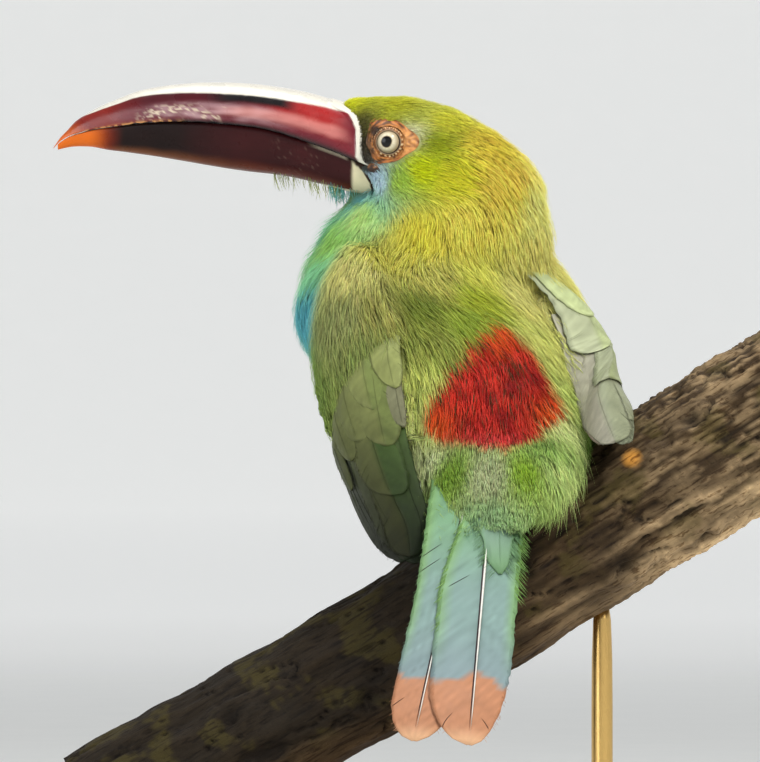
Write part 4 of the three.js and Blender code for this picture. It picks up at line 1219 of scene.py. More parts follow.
def orbit_relief(skin, side):
    """x, y and z of the bare patch from under the lid's edge out to the feathers, and what its colours follow."""
    turn = around(ORBIT["turns"])[None]
    share = np.linspace(0, 1, ORBIT["rows"])[:, None]
    upper = np.clip(np.sin(turn), 0, 1) ** 2
    lid_edge, crest, edge = ORBIT["lid"] - 0.15 * upper, ORBIT["crest"] - 0.1 * upper, orbit_edge(turn)
    rho = lerp(lid_edge - 0.3, edge, share)
    x, z = around_eye(rho, turn)
    ball = EYE["y"] + np.sqrt(np.maximum(EYE["radius"] ** 2 - rho**2, 0.1))
    lid = ball - 0.12 + 0.5 * smooth(rho, lid_edge - 0.3, lid_edge + 0.3)
    lid = lid + 0.2 * ridge(rho - crest, 0.3)
    outer = lerp(15.75 + 0 * rho, rim_depth(skin, turn, edge, side) + 0.1, smooth(rho, crest + 0.5, edge))
    y = lerp(lid, outer, smooth(rho, crest + 0.1, crest + 1.3))
    flat = np.stack([x, z, 0 * x], -1)
    wander = cloud(flat, 1.7, 8)
    # Wrinkles run round the eye; at the corners they run out from it.
    ring = np.stack([rho / 0.5, turn * 2.4 + 0 * rho, 0 * rho], -1)
    rays = np.stack([rho / 1.6, np.sin(turn) * 9 + 0 * rho, 0 * rho], -1)
    corner = np.clip(-np.cos(turn) - 0.5, 0, 0.5) * 2 * smooth(rho, crest, crest + 1)
    folds = lerp(cloud(ring + 0.4 * wander[..., None], 1, 8), 0.5 * cloud(rays, 1, 3), corner)
    # A deep crease over the upper lid, and a shallow one below the lower.
    above = smooth(np.sin(turn) + 0.25 * np.cos(turn), -0.1, 0.45)
    crease = above * ridge(rho - crest - 0.85 - 0.12 * wander, 0.17)
    crease = crease + 0.5 * (1 - above) * ridge(rho - crest - 1.15 - 0.2 * wander, 0.2)
    ease = smooth(rho, crest - 0.1, crest + 0.5) * (1 - smooth(share, 0.86, 1))
    y = lerp(y, np.maximum(y, skin_depth(skin, x, z, side) + 0.25), smooth(rho, crest + 0.2, crest + 1.0))
    y = y + (0.46 * folds + 0.16 * cloud(flat, 0.7, 15) - 0.4 * crease) * ease
    # Two rows of beads round the lids, and a row of finer ones over the upper lid.
    bead_turn = (turn * ORBIT["beads"] / (2 * math.pi) + 0.3 * np.sin(3 * turn)) % 1 - 0.5
    bead_at = crest + 0.3 + 0.08 * np.sin(3 * turn)
    bead = ridge(bead_turn, 0.27, 4) * ridge(rho - bead_at, 0.3, 4)
    bead = bead * lerp(0.4, 1, smooth(-np.sin(turn) - 0.3 * np.cos(turn), -0.2, 0.6))
    bead = bead * (1 - 0.8 * smooth(np.cos(turn), 0.5, 0.9))
    y = y + 0.3 * bead
    second = (turn * (ORBIT["beads"] + 5) / (2 * math.pi) + 0.4 * np.sin(2 * turn)) % 1 - 0.5
    second = ridge(second, 0.3) * ridge(rho - bead_at - 0.72, 0.26) * (1 - 0.6 * corner)
    y = y + 0.2 * second * ease
    fine_turn = (turn * 44 / (2 * math.pi)) % 1 - 0.5
    row = ridge(fine_turn, 0.3) * ridge(rho - crest - 0.55, 0.2) * above
    y = y + 0.14 * row * ease
    # The hollow between the brow and the bill.
    hollow = ((x - EYE_AT[0] - 3.9) / 1.5) ** 2 + ((z - EYE_AT[1] - 3.1) / 1.25) ** 2
    hollow = np.exp(-hollow) * smooth(rho, crest, crest + 0.5)
    y = y - 0.9 * hollow * ease
    marks = dict(turn=turn, rho=rho, lid_edge=lid_edge, crest=crest, wander=wander, corner=corner, folds=folds)
    return (x, y, z), dict(marks, crease=crease, bead=bead + 0.7 * row, bead_at=bead_at, second=second, hollow=hollow)


def orbit_colours(turn, rho, lid_edge, crest, wander, corner, folds, crease, bead, bead_at, second, hollow):
    # The wrinkles' crests are painted light and their troughs dark: a painted highlight and painted shade.
    tone = smooth(1.8 * folds + 0.5 * wander, -1.0, 0.8)[..., None]
    colour = lerp(linear(84, 42, 12), linear(188, 112, 44), tone)
    colour = tinted(colour, 0.8 * corner * tone[..., 0], 222, 160, 92)
    colour = tinted(colour, 0.7 * second, 204, 148, 84)
    # Painted shade in the hollow between the brow and the bill, and in the creases.
    colour = tinted(colour, np.clip(1.8 * hollow, 0, 0.95), 34, 17, 8)
    colour = colour * (1 - 0.6 * crease)[..., None]
    ahead = ridge((turn + math.pi) % (2 * math.pi) - math.pi + 0.1, 0.62) * smooth(rho, crest + 0.9, crest + 1.8)
    colour = lerp(colour, linear(84, 66, 46) * (0.7 + 0.6 * tone), (0.8 * ahead)[..., None])
    margin = lerp(linear(52, 38, 26), linear(150, 124, 92), smooth(rho, lid_edge - 0.05, lid_edge + 0.3)[..., None])
    colour = lerp(margin, colour, smooth(rho, crest - 0.1, crest + 0.15)[..., None])
    # Painted shade in the gaps between the beads.
    gap = ridge(rho - bead_at, 0.42, 4) * (1 - smooth(bead, 0.1, 0.5))
    colour = tinted(colour, 0.6 * gap, 92, 58, 30)
    return tinted(colour, 0.85 * smooth(bead, 0.3, 0.8), 226, 204, 160)


def make_orbit(skin, side):
    (x, y, z), marks = orbit_relief(skin, side)
    colour = orbit_colours(**marks)
    top = np.stack([x, side * y, z], -1)
    under = top.copy()[::-1]
    under[..., 1] -= side * ORBIT["depth"]
    rings = np.concatenate([top, under])
    rows, columns = rings.shape[:2]
    quads = grid_faces(rows, columns)
    last = (rows - 1) * columns
    j = np.arange(columns)
    quads = np.vstack([quads, np.stack([last + j, last + (j + 1) % columns, (j + 1) % columns, j], -1)])
    if side > 0:
        quads = quads[:, ::-1]
    colour = np.concatenate([colour, colour[::-1]]).reshape(-1, 3)
    uv = np.stack([0.5 + (rings[..., 0] - EYE_AT[0]) / 24, 0.5 + (rings[..., 2] - EYE_AT[1]) / 24], -1)
    uv[rows // 2 :] *= 0.999
    name = f"orbit_{SIDES[side]}"
    piece = mesh_object(name, from_head(rings.reshape(-1, 3)), quads, colour, uv.reshape(-1, 2))
    look = Look(name, Specular_IOR_Level=0.5)
    fine = look.cells(look.place(), 0.42)
    soft = look.noise(look.place(), 0.9, 4)
    look.set(Base_Color=look.attribute("Colour"), Roughness=look.waver(soft, 0.4, 0.62))
    look.set(Normal=look.bump(fine, 0.05, 0.6, look.bump(soft, 0.06, 0.5)))
    finished(piece, look.material)


def make_gape(skin, side):
    """The dark knob of skin in the corner of the mouth."""
    polar = np.linspace(0.02, math.pi - 0.02, 24)[:, None]
    turn = around(32)[None]
    depth = skin_depth(skin, np.array([15.0]), np.array([-1.2]), side)[0]
    x = 14.9 + 2.2 * np.sin(polar) * np.cos(turn)
    z = -0.9 + 1.5 * np.sin(polar) * np.sin(turn)
    y = depth - 0.3 + 1.1 * np.cos(polar) + 0 * turn
    rings = np.stack([x, side * y, z], -1)
    rings += 0.12 * cloud(rings, 0.8, 2)[..., None]
    points, faces = tube(rings)
    lit = smooth(cloud(rings, 0.9, 3) + 0.5 * np.sin(turn), -0.2, 0.8)
    colour = lerp(linear(50, 28, 16), linear(150, 102, 66), lit[..., None]).reshape(-1, 3)
    name = f"gape_{SIDES[side]}"
    piece = mesh_object(name, from_head(points), faces, colour, strip_uv(*rings.shape[:2]))
    finished(piece, horn_look(name, 0.45))


# ---- Bristles of the chin, under the bill ----
BRISTLES = [  # how many, from x, to x, the shortest and longest, and two colours to mix
    (190, 16.5, 29, (4, 8), ((96, 176, 180), (140, 210, 196))),
    (110, 26, 45, (2.5, 6.5), ((136, 146, 66), (186, 192, 116))),
]


def make_bristles():
    pile = Pile()
    for count, near, far, long, tints in BRISTLES:
        x = rng.uniform(near, far, count) if near < 20 else near + (far - near) * rng.random(count) ** 1.6
        y = rng.uniform(-1, 1, count) * bill_width(x) * 0.62
        root = np.stack([x, y, gonys(x) + 0.9 + 0.06 * y**2 / 2], -1)
        length = rng.uniform(*long, count)
        share = np.linspace(0, 1, 5)
        back = rng.uniform(-0.15, 0.4, count)[:, None] * share**2
        aside = rng.normal(0, 0.12, count)[:, None] * share
        drop = np.stack([-back, aside + 0 * back, -share[None] + 0 * back], -1)
        paths = root[:, None] + drop * length[:, None, None]
        tint = lerp(linear(*tints[0]), linear(*tints[1]), rng.random((count, 1)))
        tint = tint[:, None] * np.array([0.55, 0.8, 1, 1.1, 1.2])[:, None]
        widths = 0.15 * np.array([1, 0.9, 0.8, 0.6, 0]) * rng.uniform(0.8, 1.3, (count, 1))
        ups = np.broadcast_to(HEAD_TURN @ (0.2, 1.0, 0), (count, 5, 3))
        add_blades(pile, from_head(paths), ups, widths, tint, (0.3, 0.3), rng.random((count, 2)))
    finished(pile.build("chin_bristles", COAT_LOOK), COAT_LOOK)


# ---- Long feathers: a thin plate of two webs, a shaft, split barbs and a frayed edge ----
def barb_tone(b, seed):
    """Barbs side by side differ a little in tone: noise along b, the place where a barb leaves the shaft."""
    source = np.random.default_rng(seed)
    steps = np.arange(-20, 160, 0.8)
    return 1 + 0.08 * np.interp(b, steps, source.normal(0, 1, len(steps)))


class Feather:
    """place(s, aside, lift) puts points on the feather: s from root to tip, aside and lift in millimetres.

    tip is the share of the length that is rounded off, neck the width of the webs at the root as a share of the
    whole, reached at ramp, and camber how far the webs' edges droop. A pair is for the lead and the trail web."""

    thickness = 0.22

    def __init__(self, place, length, lead, trail, seed, tip, neck, camber, ramp=0.35):
        self.place, self.length, self.lead, self.trail, self.seed = place, length, lead, trail, seed
        self.tip, self.neck, self.camber, self.ramp = tip, neck, camber, ramp

    def half(self, s, u):
        """How wide the web is at s on u's side."""
        tip, neck = (np.where(u < 0, *np.broadcast_to(pair, 2)) for pair in (self.tip, self.neck))
        rounded = np.sqrt(np.clip(1 - (np.clip(s - 1 + tip, 0, 1) / tip) ** 2, 0.004, 1))
        root = lerp(neck, 1, smooth(s, 0, self.ramp))
        return np.where(u < 0, self.lead, self.trail) * rounded * root

    def at(self, s, u, lift=0.0):
        aside = u * self.half(s, u)
        return self.place(s, aside, lift - self.camber * u * u)

    def barb(self, s, u):
        """Where the barb at s and u leaves the shaft: it runs as far forward as it runs out."""
        return s * self.length - np.abs(u) * self.half(s, u)


def add_vane(pile, feather, colour, cell, rows=39, webs=6, fray=0.03):
    """colour(s, u, b) gives the colours of the top."""
    source = np.random.default_rng(feather.seed)
    tip = np.max(feather.tip)
    s = np.concatenate([np.linspace(0, 1 - tip, rows * 2 // 3), np.linspace(1 - tip, 1, rows // 3)[1:]])
    u = np.linspace(-1, 1, 2 * webs + 1)
    s, u = np.meshgrid(s, u, indexing="ij")
    b = feather.barb(s, u)
    ragged = np.interp(b, np.arange(-20, 160, 0.5), source.normal(0, fray, 360))
    ragged *= smooth(np.abs(u), 0.5, 1)
    wide = u * (1 + ragged)
    top = feather.at(s, wide)
    under = feather.at(s, wide * 0.985, -feather.thickness)
    rings = np.concatenate([top, under[:, ::-1]], 1)
    points, faces = tube(rings)
    shade = colour(s, u, b) * barb_tone(b, feather.seed)[..., None]
    shades = np.concatenate([shade, shade[:, ::-1] * 0.8], 1).reshape(-1, 3)
    across = np.concatenate([u, u[:, ::-1]], 1).ravel()
    along = np.concatenate([s, s], 1).ravel()
    uv = np.array(cell) + np.stack([(across + 1) * 0.06, along * 0.12], -1)
    pile.add(points, faces, shades, uv, barb=np.concatenate([b, b[:, ::-1]], 1).ravel())


def add_blades(pile, paths, ups, widths, colours, cell, share):
    """Blades in a pile. colours is (count, steps, 3); share is (count, 2): where each one's root lies in the cell."""
    forward = unit(np.gradient(paths, axis=1))
    across = unit(np.cross(forward, ups))
    points, faces = blades(paths, across, ups, widths)
    tint = blade_tint(colours)
    root = np.array(cell) + np.asarray(share) * 0.12
    spot = rng.uniform(-0.5, 0.5, (len(paths), points.shape[1], 2)) * PATCH_SIZE
    uv = (root[:, None] + spot).reshape(-1, 2)
    flat = points.reshape(-1, 3)
    pile.add(flat, faces, tint.reshape(-1, 3), uv, barb=np.zeros(len(flat)))


def normals_on(feather, s, u):
    step = 0.02
    along = feather.at(np.minimum(s + step, 1), u) - feather.at(np.maximum(s - step, 0), u)
    out = feather.at(s, u, 1.0) - feather.at(s, u, 0.0)
    out = out - unit(along) * (out * unit(along)).sum(-1, keepdims=True)
    return unit(out)


def add_shaft(pile, feather, width, colours, cell, start, lift=0.1, aside=0.0):
    s = np.linspace(start, 0.96, 12)
    u = np.zeros_like(s)
    path = feather.place(s, u + aside, lift + u)[None]
    ups = normals_on(feather, s, u)[None]
    widths = (width * lerp(1, 0.25, s) * np.append(np.ones(11), 0))[None]
    tint = lerp(colours[0], colours[1], s[:, None])[None]
    add_blades(pile, path, ups, widths, tint, cell, [(0.5, 0.5)])


def add_splits(pile, feather, splits, colour, cell, width):
    """Slits where barbs have come apart, drawn as dark blades on the web, painted shade of the gaps: (s on the shaft,
    side, from u, to u).
    """
    for at, side, first, last in splits:
        u = np.linspace(first, last, 6) * side
        s = at + np.abs(u) * feather.half(np.full_like(u, at), u) / feather.length
        path = feather.at(s, u, 0.05)[None]
        widths = width * np.array([[0.2, 0.8, 1.0, 1.0, 1.1, 0]])
        tint = np.broadcast_to(colour, (1, 6, 3))
        add_blades(pile, path, normals_on(feather, s, u)[None], widths, tint, cell, [(0.5 + 0.5 * side * first, at)])


def add_fringe(pile, feather, count, reach, colour, cell, sides=(-1, 1), span=(0.05, 0.97), width=0.16, lift=0.0):
    """Loose barb ends that stand past the webs' edges."""
    source = np.random.default_rng(feather.seed + 1)
    s = source.uniform(*span, count)
    side = source.choice(sides, count)
    out = np.linspace(0, 1, 4)
    long = source.uniform(0.4, 1.3, (count, 1)) * reach
    half = feather.half(s, side)[:, None]
    u = side[:, None] * (0.9 + out[None] * long / np.maximum(half, 1))
    along = s[:, None] + out[None] * long * source.uniform(1.1, 1.9, (count, 1)) / feather.length
    curl = lift * out[None] ** 2 * source.uniform(0.3, 1.4, (count, 1))
    edge = np.sign(u) * np.minimum(np.abs(u), 1)
    beyond = (u - edge) * half
    path = feather.place(along, edge * half + beyond, curl - feather.camber * edge**2)
    ups = np.repeat(normals_on(feather, s, side * 0.9)[:, None], 4, 1)
    widths = width * np.array([1, 0.9, 0.7, 0]) * np.ones((count, 1))
    tone = source.uniform(0.8, 1.3, (count, 1, 1))
    base = colour(np.clip(along, 0, 1), side[:, None] + 0 * along, along * feather.length)
    add_blades(pile, path, ups, widths, np.clip(base * tone, 0, 0.9), cell, np.stack([(side + 1) / 2, s], -1))


def vane_look(name):
    look = Look(name, Roughness=0.5, Specular_IOR_Level=0.14)
    barb = look.attribute("barb", "Fac")
    place = look.place()
    wander = look.math("MULTIPLY", look.noise(place, 2.5, 3), 1.2)
    phase = look.math("MULTIPLY", look.math("ADD", barb, wander), 2 * math.pi / 0.42)
    lines = look.span(look.math("SINE", phase), -1, 1)
    broad = look.noise(place, 4.0, 4)
    colour = look.attribute("Colour")
    dark = look.mix(1.0, colour, (0.74, 0.77, 0.72), "MULTIPLY")
    colour = look.mix(look.span(lines, 0, 1, 0.34, 0.0), colour, dark)
    look.set(Base_Color=colour, Roughness=look.waver(broad, 0.38, 0.58))
    fine = look.bump(look.noise(place, 0.35, 2), 0.03, 0.4)
    look.set(Normal=look.bump(lines, 0.045, 0.55, fine))
    return look.material


def cell_of(k):
    """The patch of the map that the k-th feather of a piece unwraps into."""
    return (0.01 + 0.14 * (k % 7), 0.01 + 0.14 * (k // 7))


# Feathers from the lowest layer to the top one: root and tip as (share of the length, share of the width), the
# webs' widths towards the leading and the trailing edge, the layer's height and the colours of the two webs.
# The right wing's colours are paler than the left's: partly their own colour and partly painted light on the lit side.
OLIVE, MOSS, TEAL = linear(134, 140, 84), linear(124, 136, 76), linear(94, 122, 60)
BUFF, PALE, LILAC = linear(136, 136, 104), linear(140, 148, 104), linear(144, 150, 124)
LIME, SAGE, PINK = linear(154, 163, 118), linear(153, 158, 128), linear(172, 154, 138)
BLUSH = linear(156, 153, 134)
WING_FEATHERS = {
    "left": [
        ("primary_7", (0.43, 0.03), (0.8, 0.02), 2.6, 4, -1.6, LILAC, MOSS),
        ("primary_6", (0.43, 0.08), (0.9, 0.08), 2.8, 4, -1.4, LILAC, MOSS),
        ("primary_5", (0.42, 0.14), (0.965, 0.17), 3, 4.5, -1.2, LILAC, MOSS),
        ("primary_4", (0.4, 0.5), (1.0, 0.78), 6, 5, -1.1, TEAL, TEAL),
        ("primary_3", (0.4, 0.22), (0.995, 0.34), 3.6, 5, -0.95, LILAC, TEAL),
        ("primary_2", (0.4, 0.32), (0.985, 0.5), 4.2, 5.5, -0.75, PALE, TEAL),
        ("primary_1", (0.42, 0.4), (0.93, 0.42), 4.8, 5.5, -0.5, PALE, MOSS),
        ("secondary_5", (0.42, 0.88), (0.9, 0.93), 6, 3, -0.4, TEAL, TEAL),
        ("secondary_4", (0.36, 0.66), (0.97, 0.7), 7.5, 5, -0.2, OLIVE, TEAL),
        ("alula", (0.41, 0.06), (0.6, 0.08), 2.6, 4, -0.1, PALE, OLIVE),
        ("secondary_3", (0.24, 0.64), (0.65, 0.68), 9, 7, 0.15, OLIVE, TEAL),
        ("tertial_3", (0.24, 0.9), (0.42, 0.965), 5, 1.6, 0.5, BUFF, BUFF),
        ("secondary_2", (0.12, 0.78), (0.48, 0.79), 9, 5.4, 0.45, OLIVE, MOSS),
        ("covert_5", (0.2, 0.24), (0.52, 0.3), 5, 6, 0.3, OLIVE, OLIVE),
        ("covert_4", (0.16, 0.44), (0.47, 0.5), 7, 7, 0.4, OLIVE, OLIVE),
        ("covert_3", (0.1, 0.66), (0.385, 0.74), 8, 6, 0.6, OLIVE, MOSS),
        ("tertial_1", (0.12, 0.84), (0.33, 0.93), 7, 3.6, 0.95, OLIVE, OLIVE * 1.12),
    ],
    "right": [
        ("primary_3", (0.5, 0.05), (0.985, 0.14), 3, 4.5, -1.3, LILAC, LILAC),
        ("primary_2", (0.42, 0.1), (1.0, 0.3), 3.5, 4.5, -1.0, LILAC, LILAC),
        ("lining", (0.1, 0.75), (0.75, 0.8), 10, 5, -1.0, SAGE, SAGE),
        ("tertial_3", (0.42, 0.95), (0.93, 0.975), 5, 1.4, -0.9, PINK, PINK),
        ("primary_1", (0.3, 0.14), (0.985, 0.42), 4.4, 5.5, -0.6, LILAC, SAGE),
        ("secondary_5", (0.24, 0.3), (0.8, 0.3), 7.5, 8, -0.5, SAGE, SAGE),
        ("secondary_4", (0.26, 0.72), (1.0, 0.64), 8.6, 7, 0.0, SAGE, BLUSH),
        ("covert_6", (0.12, 0.45), (0.5, 0.12), 7, 7, 0.2, LILAC, SAGE),
        ("tertial_2", (0.15, 0.95), (0.62, 0.985), 6, 1.2, -0.4, BLUSH, BLUSH),
        ("secondary_2", (0.08, 0.66), (0.58, 0.42), 8.6, 8.4, 0.8, LIME, SAGE),
        ("covert_5", (0.2, 0.14), (0.46, 0.14), 8, 9, 0.6, SAGE, LIME),
        ("covert_4", (0.03, 0.46), (0.33, 0.4), 10, 9, 0.9, BLUSH, SAGE),
        ("covert_3", (0.0, 0.76), (0.295, 0.79), 9, 9, 1.4, LIME, SAGE),
        ("covert_1", (-0.02, 0.74), (0.16, 0.78), 8.5, 8, 2.0, LIME, LIME),
    ],
}
# Painted light along each wing, as a factor on its colours: the left wing is painted darker towards its tip as painted
# shade, and the right wing is painted lighter as if lit.
WING_PAINTED_LIGHT = {
    "left": [(0, 1), (0.25, 0.92), (0.38, 0.6), (0.5, 0.33), (0.62, 0.19), (0.8, 0.09), (1, 0.05)],
    "right": [(0, 1.5), (0.3, 1.15), (0.6, 0.9), (1, 0.62)],
}


def wing_feather(name, root, tip, lead, trail, layer, seed):
    (t0, v0), (t1, v1) = root, tip
    surface = wing_surface(name)

    def place(s, aside, lift):
        t = lerp(t0, t1, s)
        middle = lerp(v0, v1, s)
        width = np.linalg.norm(surface(t, middle + 0.05, 0 * t) - surface(t, middle - 0.05, 0 * t), axis=-1) * 10
        v = np.clip(middle + aside / width, -0.04, 1.04)
        start = cover_start(name, np.clip(v, 0, 1))
        sunk = 5.5 * (1 - smooth(t, start - 0.09, start + 0.05)) + 0.35 * (1 - smooth(s, 0.3, 0.6))
        return surface(t, v, layer + lift - sunk)

    shares = np.linspace(0, 1, 20)
    line = place(shares, 0 * shares, 0 * shares)
    length = np.linalg.norm(np.diff(line, axis=0), axis=1).sum()
    tip = np.clip(13 / length, 0.2, 0.48)
    return Feather(place, length, lead, trail, seed, tip=tip, neck=0.85, camber=0.35)


def web_colours(name, root, tip, lead, trail):
    """A wing feather's colours: its two webs, paler at the rim, with painted shade where the feather above lies over
    it, a painted shadow line along its edge, and the wing's painted light and shade along its length.
    """
    shade = curve_through(WING_PAINTED_LIGHT[name])

    def colour(s, u, b):
        web = lerp(lead, trail, smooth(u, -0.12, 0.12)[..., None])
        rim = smooth(np.abs(u), 0.7, 0.95) + smooth(s, 0.9, 0.98) * 0.8
        web = lerp(web, web * 1.3 + 0.008, np.clip(rim, 0, 1)[..., None] * 0.5)
        # A painted shadow line along the edge.
        web = web * (1 - 0.3 * smooth(np.maximum(np.abs(u), s**2), 0.96, 1.0))[..., None]
        mottle = 0.1 * np.sin(b * 0.9 + 3 * u + root[1] * 40) * np.sin(b * 0.37 + 5 * u)
        web = web * (1 + mottle)[..., None]
        # Painted shade towards the root, where the feather above lies over it.
        under = lerp(0.86, 1.06, smooth(s, 0.35, 0.85))[..., None]
        beside = ridge(u, 0.1)[..., None]
        # The wing's painted light and shade along its length.
        dark = shade(np.clip(lerp(root[0], tip[0], s), 0, 1))[..., None]
        return web * (1 - 0.07 * beside) * under * dark

    return colour


def make_wing(name):
    pile = Pile()
    for k, (_, root, tip, lead, trail, layer, lead_colour, trail_colour) in enumerate(WING_FEATHERS[name]):
        feather = wing_feather(name, root, tip, lead, trail, layer, seed=100 + k)
        colour, cell = web_colours(name, root, tip, lead_colour, trail_colour), cell_of(k)
        add_vane(pile, feather, colour, cell)
        ends = colour(np.array([0.4, 0.9]), np.zeros(2), np.zeros(2))
        shaft = ends * (1.18 if name == "right" else 0.8)
        add_shaft(pile, feather, 0.24, shaft, cell, start=0.3)
        source = np.random.default_rng(500 + k)
        splits = [(source.uniform(0.5, 0.85), source.choice((-1, 1)), source.uniform(0.4, 0.8), 1.0) for _ in range(2)]
        add_splits(pile, feather, splits, ends[1] * 0.55, cell, width=0.08)
        add_fringe(pile, feather, 110, 0.8, colour, cell, width=0.12)
    piece = pile.build(f"wing_{name}_feathers", VANE_LOOK)
    return finished(piece, replaces=(f"wing_{name}_secondaries", f"wing_{name}_primaries"))


# ---- Tail ----
TAIL = dict(root=(6.5, -22, 138), tip=(-4.6, -98, 65), thickness=0.6, pitch=1.05, sag=0.003)
TAIL_FEATHERS = {
    "right": dict(side=1, start=2.7, end=6.6, webs=(12.4, 9.6), length=1.01),
    "left": dict(side=-1, start=-3, end=-8.6, webs=(8.6, 12), length=1.0),
}
TAIL_STEP = dict(length=0.065, droop=0.012, end=0.7, web=0.62)
TAIL_PAIRS = 5
TAIL_COLOURS = {
    "top": linear(112, 150, 116),
    "middle": linear(122, 147, 142),
    "low": linear(124, 142, 146),
    "edge": linear(120, 158, 92),
    "tip": linear(178, 124, 92),
    "tip_edge": linear(204, 160, 124),
}
TIP_LINE = 0.757  # share of the length where the chestnut tip starts


def tail_frame():
    root, tip = np.array(TAIL["root"], float), np.array(TAIL["tip"], float)
    length = np.linalg.norm(tip - root)
    along = (tip - root) / length
    across = unit(np.array((1.0, 0, 0)) - along * along[0])
    return root, along, across, unit(np.cross(along, across)), length


def on_tail(share, x, up):
    """Points at a share of the tail's length, x across it and up over it."""
    root, along, across, out, length = tail_frame()
    return root + np.multiply.outer(share * length, along) + x[..., None] * across + up[..., None] * out


def tail_feather(rank, name):
    length = tail_frame()[-1]
    spec = TAIL_FEATHERS[name]
    reach = spec["length"] - TAIL_STEP["length"] * rank - TAIL_STEP["droop"] * rank**2
    depth = (2 * rank + (spec["side"] < 0)) * TAIL["pitch"]
    narrow = 1 if rank == 0 else TAIL_STEP["web"] - 0.03 * rank
    end = spec["end"] + spec["side"] * TAIL_STEP["end"] * rank

    def place(s, aside, lift):
        x = lerp(spec["start"], end, s) + aside
        ripple = 0.35 * np.sin(s * 9 + rank) * smooth(s, 0.2, 1)
        down = -depth - TAIL["sag"] * x**2 + lift + ripple
        return on_tail(s * reach, x, down)

    lead, trail = (w * narrow for w in spec["webs"])
    seed = 200 + rank * 2 + (spec["side"] > 0)
    tip, neck = ((0.22, 0.34), (0.42, 0.96)) if name == "right" else ((0.17, 0.34), (1.25, 0.6))
    if rank:
        neck = (0.55, 0.55)
    return Feather(place, length * reach, lead, trail, seed, tip=tip, camber=0.35, neck=neck, ramp=0.5)


def green_barb(s, u, b):
    return lerp(linear(112, 150, 70), linear(150, 186, 132), smooth(np.abs(u), 0.9, 1.3)[..., None])


def tail_colours(seed):
    def colour(s, u, b):
        tones = TAIL_COLOURS
        web = lerp(tones["top"], tones["middle"], smooth(s, 0.15, 0.5)[..., None])
        web = lerp(web, tones["low"], smooth(s, 0.5, 0.8)[..., None])
        edge = smooth(np.abs(u), 0.62, 0.98) * smooth(s, 0.78, 0.5)
        web = lerp(web, tones["edge"], (0.75 * edge)[..., None])
        beside = ridge(u, 0.1)[..., None]
        web = web * (1 - 0.25 * beside)
        wander = 0.016 * np.sin(u * 4 + seed) - 0.012 * np.abs(u) + 0.006 * np.sin(u * 11 + 2 * seed)
        tip = smooth(s + wander, TIP_LINE - 0.006, TIP_LINE + 0.012)[..., None]
        worn = lerp(tones["tip"], tones["tip_edge"], smooth(s, 0.93, 1.0)[..., None])
        return lerp(web, worn, tip)

    return colour


# Long coverts over the tail's root, from the lowest to the top one: x at the root and at the tip, where they begin
# and end as shares of the tail, the webs' widths, the height over the tail, how long the tip is and the colour.
TAIL_COVERTS = [
    ((9, 12), (-0.12, 0.16), (6, 5.4), 0.9, 0.5, linear(118, 148, 66)),
    ((2.4, 8.6), (-0.12, 0.39), (7.6, 5.4), 1.5, 0.8, linear(118, 146, 126)),
    ((1.2, 1.6), (-0.2, 0.08), (7, 7), 1.9, 0.6, linear(138, 154, 118)),
    ((-4.5, -5.5), (-0.2, 0.06), (6, 6), 1.2, 0.6, linear(120, 150, 84)),
]


def add_tail_covert(pile, j):
    (x0, x1), (first, last), (lead, trail), height, tip, tint = TAIL_COVERTS[j]
    length = tail_frame()[-1]

    def place(s, aside, lift):
        x = lerp(x0, x1, s) + aside
        down = height * (1 - 0.35 * s) - TAIL["sag"] * x**2 + lift
        return on_tail(lerp(first, last, s), x, down)

    def colour(s, u, b):
        web = tint * lerp(0.8, 1.05, smooth(s, 0.2, 0.9))[..., None]
        edge = smooth(np.maximum(np.abs(u), s), 0.7, 1.0)[..., None]
        return lerp(web, web * np.array((0.78, 0.9, 0.62)), edge)

    feather = Feather(place, length * (last - first), lead, trail, 400 + j, tip=tip, neck=0.9, camber=0.6)
    cell = cell_of(2 * TAIL_PAIRS + j)
    add_vane(pile, feather, colour, cell, rows=36, webs=8, fray=0.06)
    pale = colour(np.array([0.5, 0.9]), np.zeros(2), np.zeros(2)) * 1.35
    add_shaft(pile, feather, 0.35, pale, cell, start=0.3)
    add_fringe(pile, feather, 260, 2.4, colour, cell, span=(0.3, 0.99), width=0.16, lift=0.5)


# Slits in the webs of a rank's feather: the place on the shaft, the side, and from and to which share of the web.
TAIL_SPLITS = {
    (0, "right"): [(0.36, -1, 0.35, 0.8), (0.84, -1, 0.5, 1.0), (0.88, 1, 0.4, 0.9)],
    (0, "left"): [(0.24, -1, 0.45, 1.0), (0.3, -1, 0.4, 1.0), (0.84, 1, 0.5, 1.0), (0.8, -1, 0.6, 1.0)],
}


def make_tail():
    pile = Pile()
    white, dark = linear(244, 240, 232), linear(52, 34, 36)
    for rank in range(TAIL_PAIRS):
        for name in TAIL_FEATHERS:
            k = rank * 2 + (name == "right")
            cell, feather, colour = cell_of(k), tail_feather(rank, name), tail_colours(k)
            rows, barbs = (60, 200) if rank == 0 else (33, 90)
            add_vane(pile, feather, colour, cell, rows=rows, webs=8, fray=0.018)
            add_shaft(pile, feather, 1.0, (white, white * 0.8), cell, start=0.02, lift=0.3)
            add_shaft(pile, feather, 0.7, (dark, dark), cell, start=0.02, lift=0.12, aside=-0.45)
            add_splits(pile, feather, TAIL_SPLITS.get((rank, name), []), dark * 0.8, cell, width=0.2)
            add_fringe(pile, feather, barbs, 1.1, colour, cell, width=0.13, lift=0.1)
            if (rank, name) == (0, "right"):
                add_fringe(pile, feather, 160, 3.2, green_barb, cell, sides=(1,), span=(0.05, 0.45), lift=0.5)
                add_fringe(pile, feather, 60, 2.2, green_barb, cell, sides=(-1,), span=(0.2, 0.6), lift=0.3)
    for j in range(len(TAIL_COVERTS)):
        add_tail_covert(pile, j)
    piece = pile.build("tail_feathers", VANE_LOOK)
    nodes = [f"tail_{name}_{rank + 1}" for rank in range(TAIL_PAIRS) for name in TAIL_FEATHERS]
    return finished(piece, replaces=nodes)


